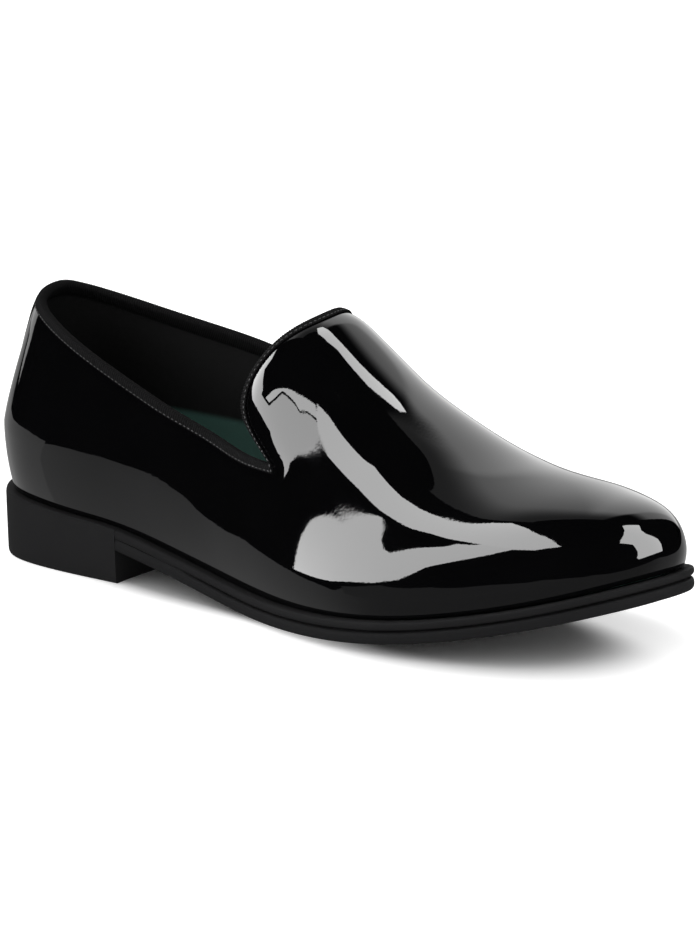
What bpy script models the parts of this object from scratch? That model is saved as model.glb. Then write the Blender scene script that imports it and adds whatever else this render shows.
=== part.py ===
"""A black patent dress loafer, right foot, as the pieces that a maker puts together.

Sizes and tables are in millimetres in the last's own frame: station 0 lies at the back of the heel and
stations grow towards the toe, the lateral side is at -Y, the medial side at +Y, and the floor at height 0.
The finished pieces are moved so that the origin lies on the floor under the middle of the shoe, in metres.
"""
import bmesh
import bpy
import numpy as np
from math import pi, radians
from mathutils import Matrix

MM = 0.001
GAP = 0.3
SHARP_EDGE = radians(40.0)

# Outline of the sole from above
SOLE_ROWS = (
    # station, lateral breadth, medial breadth
    (4.0, 15.8, 14.8),
    (16.0, 28.2, 26.8),
    (36.0, 34.0, 32.8),
    (66.0, 35.4, 32.2),
    (98.0, 36.0, 28.6),
    (128.0, 40.0, 27.6),
    (158.0, 46.8, 32.2),
    (186.0, 52.0, 40.5),
    (208.0, 53.2, 45.8),
    (228.0, 51.0, 48.4),
    (248.0, 44.7, 47.8),
    (266.0, 35.8, 44.2),
    (281.0, 24.8, 37.4),
    (293.0, 11.0, 27.0),
)
TOE_TIP = (301.2, 9.4)
OUTLINE_STEPS = 1600

# Heel, arch and toe spring of the sole
HEEL_LENGTH = 78.0
BREAST_HOLLOW = 3.6
BREAST_HEIGHT = 12.1
SEAT_HEIGHT = 25.0
SEAT_DISH = 0.25
SOLE_EDGE = 7.8
TREAD_STATION = 167.0
TREAD_EDGE = 1.2
TREAD_FLAT = 0.35
SPRING_STATION = 300.0
TOE_SPRING = 20.0
FEATHER_STATIONS = (100.0, 120.0, 140.0, 160.0, 180.0, 200.0, 225.0, 250.0, 275.0, 302.0)

# Sections of the sole's side, each a loop from the inside bottom edge outwards and up
OUTSOLE_ROWS = (
    # inset from the outline, share of the groove, height over the lower edge
    (1.0, 0.0, 0.0),
    (0.0, 0.0, 0.9),
    (0.0, 0.0, 3.4),
    (0.35, 0.0, 4.0),
    (0.0, 1.0, 4.4),
    (7.0, 0.0, 4.4),
    (7.0, 0.0, 7.8),
)
WELT_ROWS = (
    # inset from the outline, share of the groove, height over the lower edge
    (6.7, 0.0, 4.7),
    (0.0, 1.0, 4.7),
    (0.3, 0.0, 5.2),
    (0.0, 0.0, 6.0),
    (0.15, 0.0, 6.9),
    (0.8, 0.0, 7.6),
    (1.8, 0.0, 7.8),
    (6.7, 0.0, 7.8),
)
HEEL_ROWS = (
    # inset from the outline, share of the seat's height, step above it
    (1.2, 0.0, 0.0),
    (0.2, 0.0, 1.0),
    (0.0, 1.0, -2.2),
    (0.35, 1.0, -0.8),
    (1.3, 1.0, 0.0),
)
TREAD_INSET = 16.0
GROOVE_DEPTH = 1.4
GROOVE_START = 102.0
GROOVE_FULL = 128.0
SOLE_STATIONS = 32
HEEL_STATIONS = 15
BREAST_STATIONS = 8

# Wall of the upper: its widest line past the sole's outline, and the tuck from there in to the feather line
WALL_ROWS = (
    # station, lateral overhang, medial overhang, tuck height, lateral tuck, medial tuck
    (0.0, -0.4, -0.4, 24.0, 2.6, 2.6),
    (36.0, -0.4, -0.4, 24.0, 2.6, 2.6),
    (66.0, -0.6, 0.2, 24.0, 2.4, 3.2),
    (98.0, -0.8, 2.6, 24.0, 2.4, 5.4),
    (128.0, -1.0, 4.4, 24.0, 2.4, 7.0),
    (158.0, -1.4, 3.0, 20.0, 2.2, 5.4),
    (186.0, -1.7, 0.0, 15.0, 1.8, 2.6),
    (208.0, -1.9, -1.4, 12.0, 1.6, 1.6),
    (248.0, -2.0, -2.0, 10.0, 1.4, 1.4),
    (302.0, -2.0, -2.0, 9.0, 1.4, 1.4),
)
TUCK_POWER = 2.2

# Arched sections of the vamp
ARCH_ROWS = (
    # station, ridge over the feather line, squareness, shoulder, ridge's shift to the medial side
    (95.0, 91.0, 0.17, 0.05, 7.0),
    (131.0, 90.5, 0.17, 0.05, 8.0),
    (145.0, 94.0, 0.16, 0.05, 8.2),
    (160.0, 87.6, 0.13, 0.03, 8.5),
    (180.0, 73.0, 0.08, 0.01, 8.2),
    (200.0, 61.0, 0.05, 0.00, 7.2),
    (220.0, 49.8, 0.06, 0.02, 6.0),
    (240.0, 41.0, 0.10, 0.06, 4.4),
    (260.0, 35.2, 0.14, 0.10, 2.8),
    (280.0, 31.4, 0.14, 0.10, 1.2),
    (302.0, 31.0, 0.14, 0.10, 0.0),
)
TOE_ROUND_STATION = 240.0
TOE_ROUND_POWER = 3.45

# Quarters: height of the collar's edge and its lean in from the widest line
COLLAR_ROWS = (
    # station, lateral height, medial height, lean
    (0.0, 98.4, 98.4, 17.5),
    (20.0, 95.0, 93.4, 12.5),
    (45.0, 87.6, 87.0, 6.5),
    (80.0, 74.8, 81.6, 2.8),
    (115.0, 63.0, 74.5, 2.2),
    (145.0, 56.2, 62.0, 2.2),
    (160.0, 55.2, 55.2, 2.2),
)
LEAN_POWER = 1.2
QUARTER_BLEND = (95.0, 131.0)
BACK_STATION = 40.0
BACK_BREADTH = 25.0

# Tongue: the rounded top of the vamp between its two notches with the collar
NOTCH_STATION = 160.0
VAMP_STATION = 172.0
NOTCH_SHARE = 0.52
TONGUE_ROWS = (
    # place across, 0 on the ridge and 1 at a notch, and the station of the edge there
    (0.0, 151.5),
    (0.30, 146.0),
    (0.55, 139.0),
    (0.72, 138.0),
    (0.86, 143.0),
    (0.94, 151.0),
    (1.0, 160.0),
)

# Grid of the upper
UPPER_WALL = 2.0
WALL_COLUMNS = 6
CROWN_COLUMNS = 20
TOE_STATIONS = 20
TONGUE_STATIONS = 4
QUARTER_STATIONS = 52
SECTION_STEPS = 240
RIB_STEPS = 80

# Binding, back stay and insole
BINDING_OUTSIDE = 1.8
BINDING_INSIDE = 4.5
BINDING_THICKNESS = 0.7
STAY_HALF = 12.8
STAY_THICKNESS = 1.0
STAY_TOP_SHARE = 0.95
STAY_REACH = 40.0
STAY_COLUMNS = 10
STAY_ROWS = 10
INSOLE_THICKNESS = 3.0
INSOLE_CLEARANCE = 0.9
INSOLE_STATIONS = 26
INSOLE_EDGE = 0.8

# Finishes read from the photo: colour, roughness, metallic
FINISHES = {
    "patent_leather": ((0.004, 0.004, 0.005), 0.06, 0.0),
    "ribbed_ribbon": ((0.010, 0.010, 0.010), 0.75, 0.0),
    "sole_rubber": ((0.016, 0.016, 0.017), 0.55, 0.0),
    "green_sock": ((0.011, 0.028, 0.022), 0.70, 0.0),
}


def cubic(knots, values, closed=False):
    """Cubic spline through values at knots, with natural ends, or periodic where closed."""
    t = np.asarray(knots, float)
    p = np.asarray(values, float)
    h = np.diff(t)
    count = len(t)
    a = np.zeros((count, count))
    r = np.zeros(p.shape)
    for i in range(1, count - 1):
        a[i, i - 1 : i + 2] = h[i - 1], 2.0 * (h[i - 1] + h[i]), h[i]
        r[i] = 6.0 * ((p[i + 1] - p[i]) / h[i] - (p[i] - p[i - 1]) / h[i - 1])
    a[0, 0] = 1.0
    a[-1, -1] = 1.0
    if closed:
        a[0, -1] = -1.0
        a[-1, :2] = 2.0 * h[0], h[0]
        a[-1, -2:] = h[-1], 2.0 * h[-1]
        r[-1] = 6.0 * ((p[1] - p[0]) / h[0] - (p[-1] - p[-2]) / h[-1])
    bends = np.linalg.solve(a, r)

    def curve(x):
        x = np.asarray(x, float)
        i = np.clip(np.searchsorted(t, x) - 1, 0, count - 2)
        lo, hi, w = x - t[i], t[i + 1] - x, h[i]
        if p.ndim > 1:
            lo, hi, w = lo[..., None], hi[..., None], w[..., None]
        bend = (bends[i] * hi**3 + bends[i + 1] * lo**3) / (6.0 * w)
        return bend + (p[i] / w - bends[i] * w / 6.0) * hi + (p[i + 1] / w - bends[i + 1] * w / 6.0) * lo

    return curve


def column(rows, index):
    """Smooth curve of one table column over the table's first column, held level past its ends."""
    table = np.array(rows)
    curve = cubic(table[:, 0], table[:, index])
    return lambda x: curve(np.clip(x, table[0, 0], table[-1, 0]))


def smooth_step(t):
    t = np.clip(t, 0.0, 1.0)
    return t * t * (3.0 - 2.0 * t)


def mix(a, b, share):
    return a * (1.0 - share) + b * share


class PlanLine:
    """A closed line seen from above, with outward normals, read by place along it or by station."""

    def __init__(self, points):
        self.points = points
        along = np.roll(points, -1, axis=0) - np.roll(points, 1, axis=0)
        along /= np.linalg.norm(along, axis=1)[:, None]
        self.normals = np.c_[along[:, 1], -along[:, 0]]
        if np.sum((points - points.mean(axis=0)) * self.normals) < 0.0:
            self.normals = -self.normals
        self.count = len(points)
        self.back = int(np.argmin(points[:, 0]))
        self.toe = int(np.argmax(points[:, 0]))
        self.tip = points[self.toe, 0]
        to_toe = np.arange((self.toe - self.back) % self.count + 1)
        to_back = np.arange((self.back - self.toe) % self.count + 1)
        self.lateral = (self.back + to_toe) % self.count
        self.medial = ((self.toe + to_back) % self.count)[::-1]

    def branch(self, side):
        return self.lateral if side < 0 else self.medial

    def breadth(self, station, side):
        rows = self.branch(side)
        return np.interp(station, self.points[rows, 0], self.points[rows, 1])

    def normal(self, station, side):
        rows = self.branch(side)
        parts = [np.interp(station, self.points[rows, 0], self.normals[rows, k]) for k in (0, 1)]
        n = np.stack(parts, axis=-1)
        return n / np.linalg.norm(n, axis=-1, keepdims=True)

    def place(self, station, side):
        """Place along the line, in steps from its first point, at a station of one side."""
        rows = self.branch(side)
        steps = np.unwrap(rows, period=self.count)
        return float(np.interp(station, self.points[rows, 0], steps)) % self.count

    def at(self, place):
        """Point and outward normal at a place along the line."""
        low = int(np.floor(place))
        share = place - low
        a, b = low % self.count, (low + 1) % self.count
        normal = mix(self.normals[a], self.normals[b], share)
        return mix(self.points[a], self.points[b], share), normal / np.linalg.norm(normal)

    def medial_share(self):
        """0 on the lateral side and 1 on the medial side, changing smoothly round the heel and the toe."""
        x = self.points[:, 0]
        lateral, medial = self.breadth(x, -1), self.breadth(x, 1)
        half = np.maximum((medial - lateral) / 2.0, 1e-9)
        return smooth_step(0.5 + 0.5 * (self.points[:, 1] - (lateral + medial) / 2.0) / half)

    def grown(self, lateral_amount, medial_amount):
        """The line moved outwards by an amount for each side, given by station."""
        x = self.points[:, 0]
        amount = mix(lateral_amount(x), medial_amount(x), self.medial_share())
        return PlanLine(self.points + self.normals * amount[:, None])


def sole_outline():
    lateral = [(x, -breadth) for x, breadth, _ in SOLE_ROWS]
    medial = [(x, breadth) for x, _, breadth in SOLE_ROWS]
    points = np.array([(0.0, 0.0)] + lateral + [TOE_TIP] + medial[::-1] + [(0.0, 0.0)])
    run = np.r_[0.0, np.cumsum(np.hypot(*np.diff(points, axis=0).T))]
    curve = cubic(run, points, closed=True)
    return PlanLine(curve(np.linspace(0.0, run[-1], OUTLINE_STEPS, endpoint=False)))


def lower_edge(x):
    """Height of the sole's lower edge: the arch behind the tread and the toe spring ahead of it."""
    x = np.asarray(x, float)
    ahead = np.clip((x - TREAD_STATION) / (SPRING_STATION - TREAD_STATION), 0.0, None)
    behind = np.clip((TREAD_STATION - x) / (TREAD_STATION - HEEL_LENGTH), 0.0, None)
    arch_rise = (BREAST_HEIGHT - TREAD_EDGE) * (1.5 * behind**2 - 0.5 * behind**3)
    return TREAD_EDGE + TOE_SPRING * ahead**2 + arch_rise


def tread(x):
    """Height of the tread inside the sole's edge, flat on the floor under the ball."""
    return np.maximum(lower_edge(x) - TREAD_EDGE - TREAD_FLAT, 0.0)


def feather_line():
    """Height of the sole's top, where upper and sole meet, along the shoe."""
    breast = BREAST_HEIGHT + SOLE_EDGE
    stations, heights = [], []
    for share in (0.0, 1.0 / 3.0, 2.0 / 3.0, 1.0):
        stations.append(share * HEEL_LENGTH)
        heights.append(mix(SEAT_HEIGHT, breast, share - SEAT_DISH * share * (1.0 - share)))
    for x in FEATHER_STATIONS:
        stations.append(x)
        heights.append(float(lower_edge(x)) + SOLE_EDGE)
    return cubic(stations, heights)


SOLE = sole_outline()
FEATHER = feather_line()
LATERAL_TUCK, MEDIAL_TUCK = column(WALL_ROWS, 4), column(WALL_ROWS, 5)
TUCK_HEIGHT = column(WALL_ROWS, 3)
WALL = SOLE.grown(column(WALL_ROWS, 1), column(WALL_ROWS, 2))
RIDGE, SQUARENESS, SHOULDER, SHIFT = (column(ARCH_ROWS, k) for k in (1, 2, 3, 4))
LATERAL_COLLAR, MEDIAL_COLLAR, LEAN = (column(COLLAR_ROWS, k) for k in (1, 2, 3))
TONGUE_EDGE = column([(-place, x) for place, x in TONGUE_ROWS[:0:-1]] + list(TONGUE_ROWS), 1)


def seat(x):
    """Lower edge of the upper and of the insole, just clear of the sole."""
    return FEATHER(x) + GAP


def ridge(x):
    """Height of the vamp's ridge over the feather line, rounded down to nothing at the toe's tip."""
    t = np.clip((x - TOE_ROUND_STATION) / (WALL.tip - TOE_ROUND_STATION), 0.0, 1.0)
    return RIDGE(x) * np.sqrt(1.0 - t**TOE_ROUND_POWER)


def arch(x):
    """Section of the upper across the vamp, from the lateral to the medial side, before the tuck."""
    lateral, medial = WALL.breadth(x, -1), WALL.breadth(x, 1)
    turn = np.linspace(0.0, pi, SECTION_STEPS + 1)
    c, s = np.cos(turn), np.sin(turn)
    middle, half = (lateral + medial) / 2.0, (medial - lateral) / 2.0
    y = middle - half * c * (1.0 + SQUARENESS(x) * s * s) + SHIFT(x) * s * s
    z = seat(x) + ridge(x) * s * (1.0 + SHOULDER(x) * c * c)
    return np.c_[np.full(len(turn), x), y, z]


def tuck_share(x, z):
    return np.clip(1.0 - (z - seat(x)) / TUCK_HEIGHT(x), 0.0, 1.0) ** TUCK_POWER


def tucked(points, side):
    """Draws points of one side in below the widest line of the wall."""
    x, z = points[:, 0], points[:, 2]
    amount = (LATERAL_TUCK if side < 0 else MEDIAL_TUCK)(x) * tuck_share(x, z)
    moved = points.copy()
    moved[:, :2] -= WALL.normal(x, side) * amount[:, None]
    return moved


def spread(points, count):
    """Points at equal steps along a line through the given points."""
    run = np.r_[0.0, np.cumsum(np.linalg.norm(np.diff(points, axis=0), axis=1))]
    want = np.linspace(0.0, run[-1], count + 1)
    return np.stack([np.interp(want, run, points[:, k]) for k in range(3)], axis=1)


def section(x):
    """Grid points across the vamp: lateral wall to the notch's level, crown, medial wall."""
    points = arch(x)
    level = seat(x) + NOTCH_SHARE * ridge(x)
    top = int(np.argmax(points[:, 2]))
    steps = np.arange(len(points))
    left = np.interp(level, points[: top + 1, 2], steps[: top + 1])
    right = np.interp(-level, -points[top:, 2], steps[top:])
    marks = [np.array([np.interp(m, steps, points[:, k]) for k in range(3)]) for m in (left, right)]
    first, last = int(np.ceil(left)), int(np.floor(right))
    whole = np.vstack([points[:first], marks[0], points[first : last + 1], marks[1], points[last + 1 :]])
    ridge_row = int(np.argmax(whole[:, 2]))
    whole = np.vstack([tucked(whole[: ridge_row + 1], -1), tucked(whole[ridge_row + 1 :], 1)])
    a, b = first, last + 2
    walls = spread(whole[: a + 1], WALL_COLUMNS), spread(whole[b:], WALL_COLUMNS)
    return np.vstack([walls[0], spread(whole[a : b + 1], CROWN_COLUMNS)[1:], walls[1][1:]])


def arch_breadth(x, z, side):
    """Breadth of the vamp's section at a station and heights on one side."""
    points = arch(x)
    top = int(np.argmax(points[:, 2]))
    if side < 0:
        return np.interp(z, points[: top + 1, 2], points[: top + 1, 1])
    return np.interp(-z, -points[top:, 2], points[top:, 1])


def rib(place):
    """Line up the quarter's outside from the feather line to the collar, at a place along the wall."""
    (x, y), normal = WALL.at(place)
    side = -1 if y < 0.0 else 1
    share = 0.5 + 0.5 * side
    if x < BACK_STATION:
        share = smooth_step(0.5 + 0.5 * y / BACK_BREADTH)
    low, top = seat(x), mix(LATERAL_COLLAR(x), MEDIAL_COLLAR(x), share)
    z = np.linspace(low, top, RIB_STEPS + 1)
    widest = low + TUCK_HEIGHT(x)
    lean = LEAN(x) * np.clip((z - widest) / (top - widest), 0.0, 1.0) ** LEAN_POWER
    vamp_share = smooth_step((x - QUARTER_BLEND[0]) / (QUARTER_BLEND[1] - QUARTER_BLEND[0]))
    xs = x - normal[0] * lean * (1.0 - vamp_share)
    ys = mix(y - normal[1] * lean, arch_breadth(x, z, side), vamp_share)
    tuck = mix(LATERAL_TUCK(x), MEDIAL_TUCK(x), share) * tuck_share(x, z)
    return np.c_[xs - normal[0] * tuck, ys - normal[1] * tuck, z]


class Skin:
    """Points and faces gathered for one mesh."""

    def __init__(self):
        self.points = []
        self.faces = []

    def add(self, points):
        first = len(self.points)
        self.points.extend(tuple(p) for p in points)
        return list(range(first, len(self.points)))

    def bridge(self, a, b, closed=False):
        """Faces between two rows of points."""
        pairs = list(zip(a, b))
        if closed:
            pairs.append(pairs[0])
        for (a0, b0), (a1, b1) in zip(pairs, pairs[1:]):
            self.faces.append((a0, a1, b1, b0))


def finish_material(name):
    colour, roughness, metallic = FINISHES[name]
    material = bpy.data.materials.new(name)
    material.use_nodes = True
    shader = material.node_tree.nodes["Principled BSDF"]
    shader.inputs["Base Color"].default_value = (*colour, 1.0)
    shader.inputs["Roughness"].default_value = roughness
    shader.inputs["Metallic"].default_value = metallic
    material.diffuse_color = (*colour, 1.0)
    return material


def make_object(name, skin, finish, closed=True):
    """A mesh object in metres from a skin, in the shoe's collection."""
    mesh = bpy.data.meshes.new(name)
    mesh.from_pydata([tuple(MM * c for c in p) for p in skin.points], [], skin.faces)
    if closed:
        work = bmesh.new()
        work.from_mesh(mesh)
        bmesh.ops.recalc_face_normals(work, faces=work.faces)
        work.to_mesh(mesh)
        work.free()
    mesh.shade_smooth()
    mesh.set_sharp_from_angle(angle=SHARP_EDGE)
    mesh.materials.append(MATERIALS[finish])
    obj = bpy.data.objects.new(name, mesh)
    COLLECTION.objects.link(obj)
    return obj


def thicken(obj, thickness, offset):
    """A wall on an open skin: inside it at offset -1, outside at +1."""
    wall = obj.modifiers.new("wall", "SOLIDIFY")
    wall.thickness = thickness * MM
    wall.offset = offset
    wall.use_rim = True


def build_upper():
    """The upper's shell, and its edge as rows of (edge point, next point into the leather)."""
    skin = Skin()
    turn = np.sin(np.linspace(0.0, pi / 2.0, TOE_STATIONS + 1))[:-1]
    stations = VAMP_STATION + (WALL.tip - VAMP_STATION) * turn
    rows = [skin.add(section(x)) for x in stations]
    for back, front in zip(rows, rows[1:]):
        skin.bridge(front, back)
    tip_station = WALL.tip - LATERAL_TUCK(WALL.tip)
    tip = skin.add([(tip_station, WALL.points[WALL.toe, 1], seat(WALL.tip))])[0]
    skin.faces.extend((b, a, tip) for a, b in zip(rows[-1], rows[-1][1:]))

    left, right = WALL_COLUMNS, WALL_COLUMNS + CROWN_COLUMNS
    place = np.linspace(-1.0, 1.0, CROWN_COLUMNS + 1)
    ends = np.full(len(rows[0]), NOTCH_STATION)
    ends[left : right + 1] = TONGUE_EDGE(place)
    ahead, behind = rows[0], None
    for step in range(1, TONGUE_STATIONS + 1):
        stations = VAMP_STATION + (ends - VAMP_STATION) * step / TONGUE_STATIONS
        row = skin.add([section(x)[j] for j, x in enumerate(stations)])
        skin.bridge(ahead, row)
        ahead, behind = row, ahead

    edge = [(ahead[j], behind[j]) for j in range(left + 1, right)]
    places = np.linspace(WALL.place(NOTCH_STATION, 1), WALL.place(NOTCH_STATION, -1) + WALL.count,
                         QUARTER_STATIONS + 1)
    first, last = ahead[right:][::-1], ahead[: left + 1]
    quarter = [first] + [skin.add(spread(rib(p), WALL_COLUMNS)) for p in places[1:-1]] + [last]
    for back, front in zip(quarter, quarter[1:]):
        skin.bridge(front, back)
    edge.append((first[-1], behind[right + 1]))
    edge.extend((row[-1], row[-2]) for row in quarter[1:-1])
    edge.append((last[-1], behind[left - 1]))
    obj = make_object("upper", skin, "patent_leather", closed=False)
    thicken(obj, UPPER_WALL, -1.0)
    return obj, edge


def build_binding(upper, edge):
    """The ribbon folded over the collar and the tongue: a U section round the upper's edge."""
    vertices = upper.data.vertices
    outer = GAP + BINDING_THICKNESS
    inner_face = UPPER_WALL + GAP
    inner = inner_face + BINDING_THICKNESS
    profile = (
        (BINDING_OUTSIDE, outer), (-outer, outer), (-outer, -inner), (BINDING_INSIDE, -inner),
        (BINDING_INSIDE, -inner_face), (-GAP, -inner_face), (-GAP, GAP), (BINDING_OUTSIDE, GAP),
    )
    skin = Skin()
    rows = []
    for at, inward in edge:
        point, normal = vertices[at].co, vertices[at].normal
        into = vertices[inward].co - point
        into = (into - normal * into.dot(normal)).normalized()
        rows.append(skin.add([point / MM + into * d + normal * n for d, n in profile]))
    for a, b in zip(rows, rows[1:] + rows[:1]):
        skin.bridge(a, b, closed=True)
    return make_object("topline_binding", skin, "ribbed_ribbon")


def build_back_stay():
    """The strip up the back of the heel, of one width all the way, laid on the upper's own ribs."""
    skin = Skin()
    step = np.linalg.norm(np.diff(WALL.points[:2], axis=0))
    places = WALL.back + np.linspace(-STAY_REACH, STAY_REACH, 4 * STAY_COLUMNS + 1) / step
    ribs = np.array([rib(place) for place in places])
    ribs[:, :, :2] += GAP * np.array([WALL.at(place)[1] for place in places])[:, None]
    steps = np.linspace(0.0, 1.0, RIB_STEPS + 1)
    wanted = np.linspace(-STAY_HALF, STAY_HALF, STAY_COLUMNS + 1)
    rows = []
    for share in np.linspace(0.0, STAY_TOP_SHARE, STAY_ROWS + 1):
        line = np.array([[np.interp(share, steps, at[:, k]) for k in range(3)] for at in ribs])
        run = np.r_[0.0, np.cumsum(np.linalg.norm(np.diff(line, axis=0), axis=1))]
        run -= run[len(run) // 2]
        rows.append(skin.add(np.stack([np.interp(wanted, run, line[:, k]) for k in range(3)], axis=1)))
    for a, b in zip(rows, rows[1:]):
        skin.bridge(a, b)
    obj = make_object("back_stay", skin, "ribbed_ribbon", closed=False)
    thicken(obj, STAY_THICKNESS, 1.0)
    return obj


def breast_line(y):
    """Station of the heel's hollow front face across the shoe."""
    lateral, medial = SOLE.breadth(HEEL_LENGTH, -1), SOLE.breadth(HEEL_LENGTH, 1)
    across = (y - (lateral + medial) / 2.0) / ((medial - lateral) / 2.0)
    return HEEL_LENGTH - BREAST_HOLLOW * (1.0 - across**2)


def groove(x):
    return GROOVE_DEPTH * smooth_step((x - GROOVE_START) / (GROOVE_FULL - GROOVE_START))


def inset_row(places, insets, front):
    """Points inside the sole's outline at places along it, with the two ends on the breast's line."""
    row = []
    for k, (place, inset) in enumerate(zip(places, insets)):
        point, normal = SOLE.at(place)
        point = point - normal * inset
        if k in (0, len(places) - 1):
            point[0] = breast_line(point[1]) + front
        row.append(point)
    return row


def breast_row(start, end, front):
    """Points along the breast's line between two points, without them."""
    ys = np.linspace(start[1], end[1], BREAST_STATIONS + 1)[1:-1]
    return [np.array([breast_line(y) + front, y]) for y in ys]


def cap(skin, ring, count):
    """Closes a ring of count side points and breast points with strips across the shoe."""
    half = count // 2
    skin.faces.append((ring[0], ring[1], *ring[count - 2 :]))
    for k in range(1, half - 1):
        skin.faces.append((ring[k], ring[k + 1], ring[count - 2 - k], ring[count - 1 - k]))
    skin.faces.append((ring[half - 1], ring[half], ring[half + 1]))


def sole_places(start_side, stations):
    """Places from the breast of one side round the toe, or round the heel, to the other side's breast."""
    a, b = SOLE.place(HEEL_LENGTH, start_side), SOLE.place(HEEL_LENGTH, -start_side)
    middle = SOLE.toe if start_side < 0 else SOLE.back
    if b < a:
        b += SOLE.count
    if middle < a:
        middle += SOLE.count
    return np.r_[np.linspace(a, middle, stations, endpoint=False), np.linspace(middle, b, stations + 1)]


def build_outsole():
    """The sole plate ahead of the heel, with the ledge that takes the welt."""
    skin = Skin()
    places = sole_places(-1, SOLE_STATIONS)
    count = len(places)
    stations = np.array([SOLE.at(p)[0][0] for p in places])
    rings = []
    tread_row = inset_row(places, np.full(count, TREAD_INSET), GAP)
    tread_row += breast_row(tread_row[-1], tread_row[0], GAP)
    rings.append(skin.add([(x, y, tread(x)) for x, y in tread_row]))
    for inset, groove_share, height in OUTSOLE_ROWS:
        row = inset_row(places, inset + groove_share * groove(stations), GAP)
        row += breast_row(row[-1], row[0], GAP)
        top = height == SOLE_EDGE
        rings.append(skin.add([(x, y, FEATHER(x) if top else lower_edge(x) + height) for x, y in row]))
    for a, b in zip(rings, rings[1:]):
        skin.bridge(a, b, closed=True)
    cap(skin, rings[0], count)
    cap(skin, rings[-1], count)
    return make_object("outsole", skin, "sole_rubber")


def build_welt():
    """The upper rib of the sole's edge, from breast to breast round the toe."""
    skin = Skin()
    places = sole_places(-1, SOLE_STATIONS)
    stations = np.array([SOLE.at(p)[0][0] for p in places])
    lines = []
    for inset, groove_share, height in WELT_ROWS:
        row = inset_row(places, inset + groove_share * groove(stations), GAP)
        top = height == SOLE_EDGE
        lines.append([(x, y, FEATHER(x) if top else lower_edge(x) + height) for x, y in row])
    loops = [skin.add(loop) for loop in zip(*lines)]
    for a, b in zip(loops, loops[1:]):
        skin.bridge(a, b, closed=True)
    skin.faces.append(tuple(loops[0]))
    skin.faces.append(tuple(loops[-1]))
    return make_object("welt", skin, "sole_rubber")


def build_heel():
    """The heel block, from the floor to the feather line, with a hollow breast."""
    skin = Skin()
    places = sole_places(1, HEEL_STATIONS)
    count = len(places)
    rings = []
    for inset, share, step in HEEL_ROWS:
        row = inset_row(places, np.full(count, inset), 0.0)
        row += breast_row(row[-1], row[0], 0.0)
        rings.append(skin.add([(x, y, share * FEATHER(x) + step) for x, y in row]))
    for a, b in zip(rings, rings[1:]):
        skin.bridge(a, b, closed=True)
    cap(skin, rings[0], count)
    cap(skin, rings[-1], count)
    return make_object("heel", skin, "sole_rubber")


def build_insole():
    """The sock on the footbed, inside the upper's wall."""
    skin = Skin()
    share = WALL.medial_share()
    tuck = mix(LATERAL_TUCK(WALL.points[:, 0]), MEDIAL_TUCK(WALL.points[:, 0]), share)
    rows = np.r_[np.linspace(WALL.back, WALL.toe, INSOLE_STATIONS, endpoint=False),
                 np.linspace(WALL.toe, WALL.back + WALL.count, INSOLE_STATIONS, endpoint=False)]
    rings = []
    profile = ((0.0, 0.0), (0.0, INSOLE_THICKNESS - INSOLE_EDGE), (INSOLE_EDGE, INSOLE_THICKNESS))
    for inset, height in profile:
        ring = []
        for place in rows:
            (x, y), normal = WALL.at(place)
            inward = tuck[int(place) % WALL.count] + UPPER_WALL + INSOLE_CLEARANCE + inset
            x, y = np.array([x, y]) - normal * inward
            ring.append((x, y, seat(x) + height))
        rings.append(skin.add(ring))
    for a, b in zip(rings, rings[1:]):
        skin.bridge(a, b, closed=True)
    for ring in (rings[0], rings[-1]):
        count = len(ring)
        skin.faces.append((ring[0], ring[1], ring[-1]))
        for k in range(1, count // 2 - 1):
            skin.faces.append((ring[k], ring[k + 1], ring[count - 1 - k], ring[count - k]))
        skin.faces.append((ring[count // 2 - 1], ring[count // 2], ring[count // 2 + 1]))
    return make_object("insole", skin, "green_sock")


def centre_on_floor(pieces):
    """Moves the pieces so that the origin lies under the middle of their box."""
    graph = bpy.context.evaluated_depsgraph_get()
    corners = np.array([corner for piece in pieces for corner in piece.evaluated_get(graph).bound_box])
    low, high = corners.min(axis=0), corners.max(axis=0)
    move = Matrix.Translation((-(low[0] + high[0]) / 2.0, -(low[1] + high[1]) / 2.0, -low[2]))
    for piece in pieces:
        piece.data.transform(move)


for old in list(bpy.data.objects):
    bpy.data.objects.remove(old, do_unlink=True)
COLLECTION = bpy.data.collections.new("dress_loafer")
bpy.context.scene.collection.children.link(COLLECTION)
MATERIALS = {name: finish_material(name) for name in FINISHES}

UPPER, UPPER_EDGE = build_upper()
PIECES = [
    UPPER,
    build_binding(UPPER, UPPER_EDGE),
    build_back_stay(),
    build_outsole(),
    build_welt(),
    build_heel(),
    build_insole(),
]
centre_on_floor(PIECES)
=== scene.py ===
"""Looks of the black patent dress loafer: fine meshes, finishes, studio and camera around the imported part.

Tables and sizes are in millimetres in the last's own frame: station 0 lies at the back of the heel and
stations grow towards the toe, the lateral side is at -Y, the medial side at +Y, and the floor at height 0.
"""
import logging
import math
from dataclasses import dataclass, field
from enum import Enum
from typing import Any, Callable, Iterable, Sequence

import bmesh
import bpy
import numpy as np
from mathutils import Matrix, Vector
from mathutils.kdtree import KDTree


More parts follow.
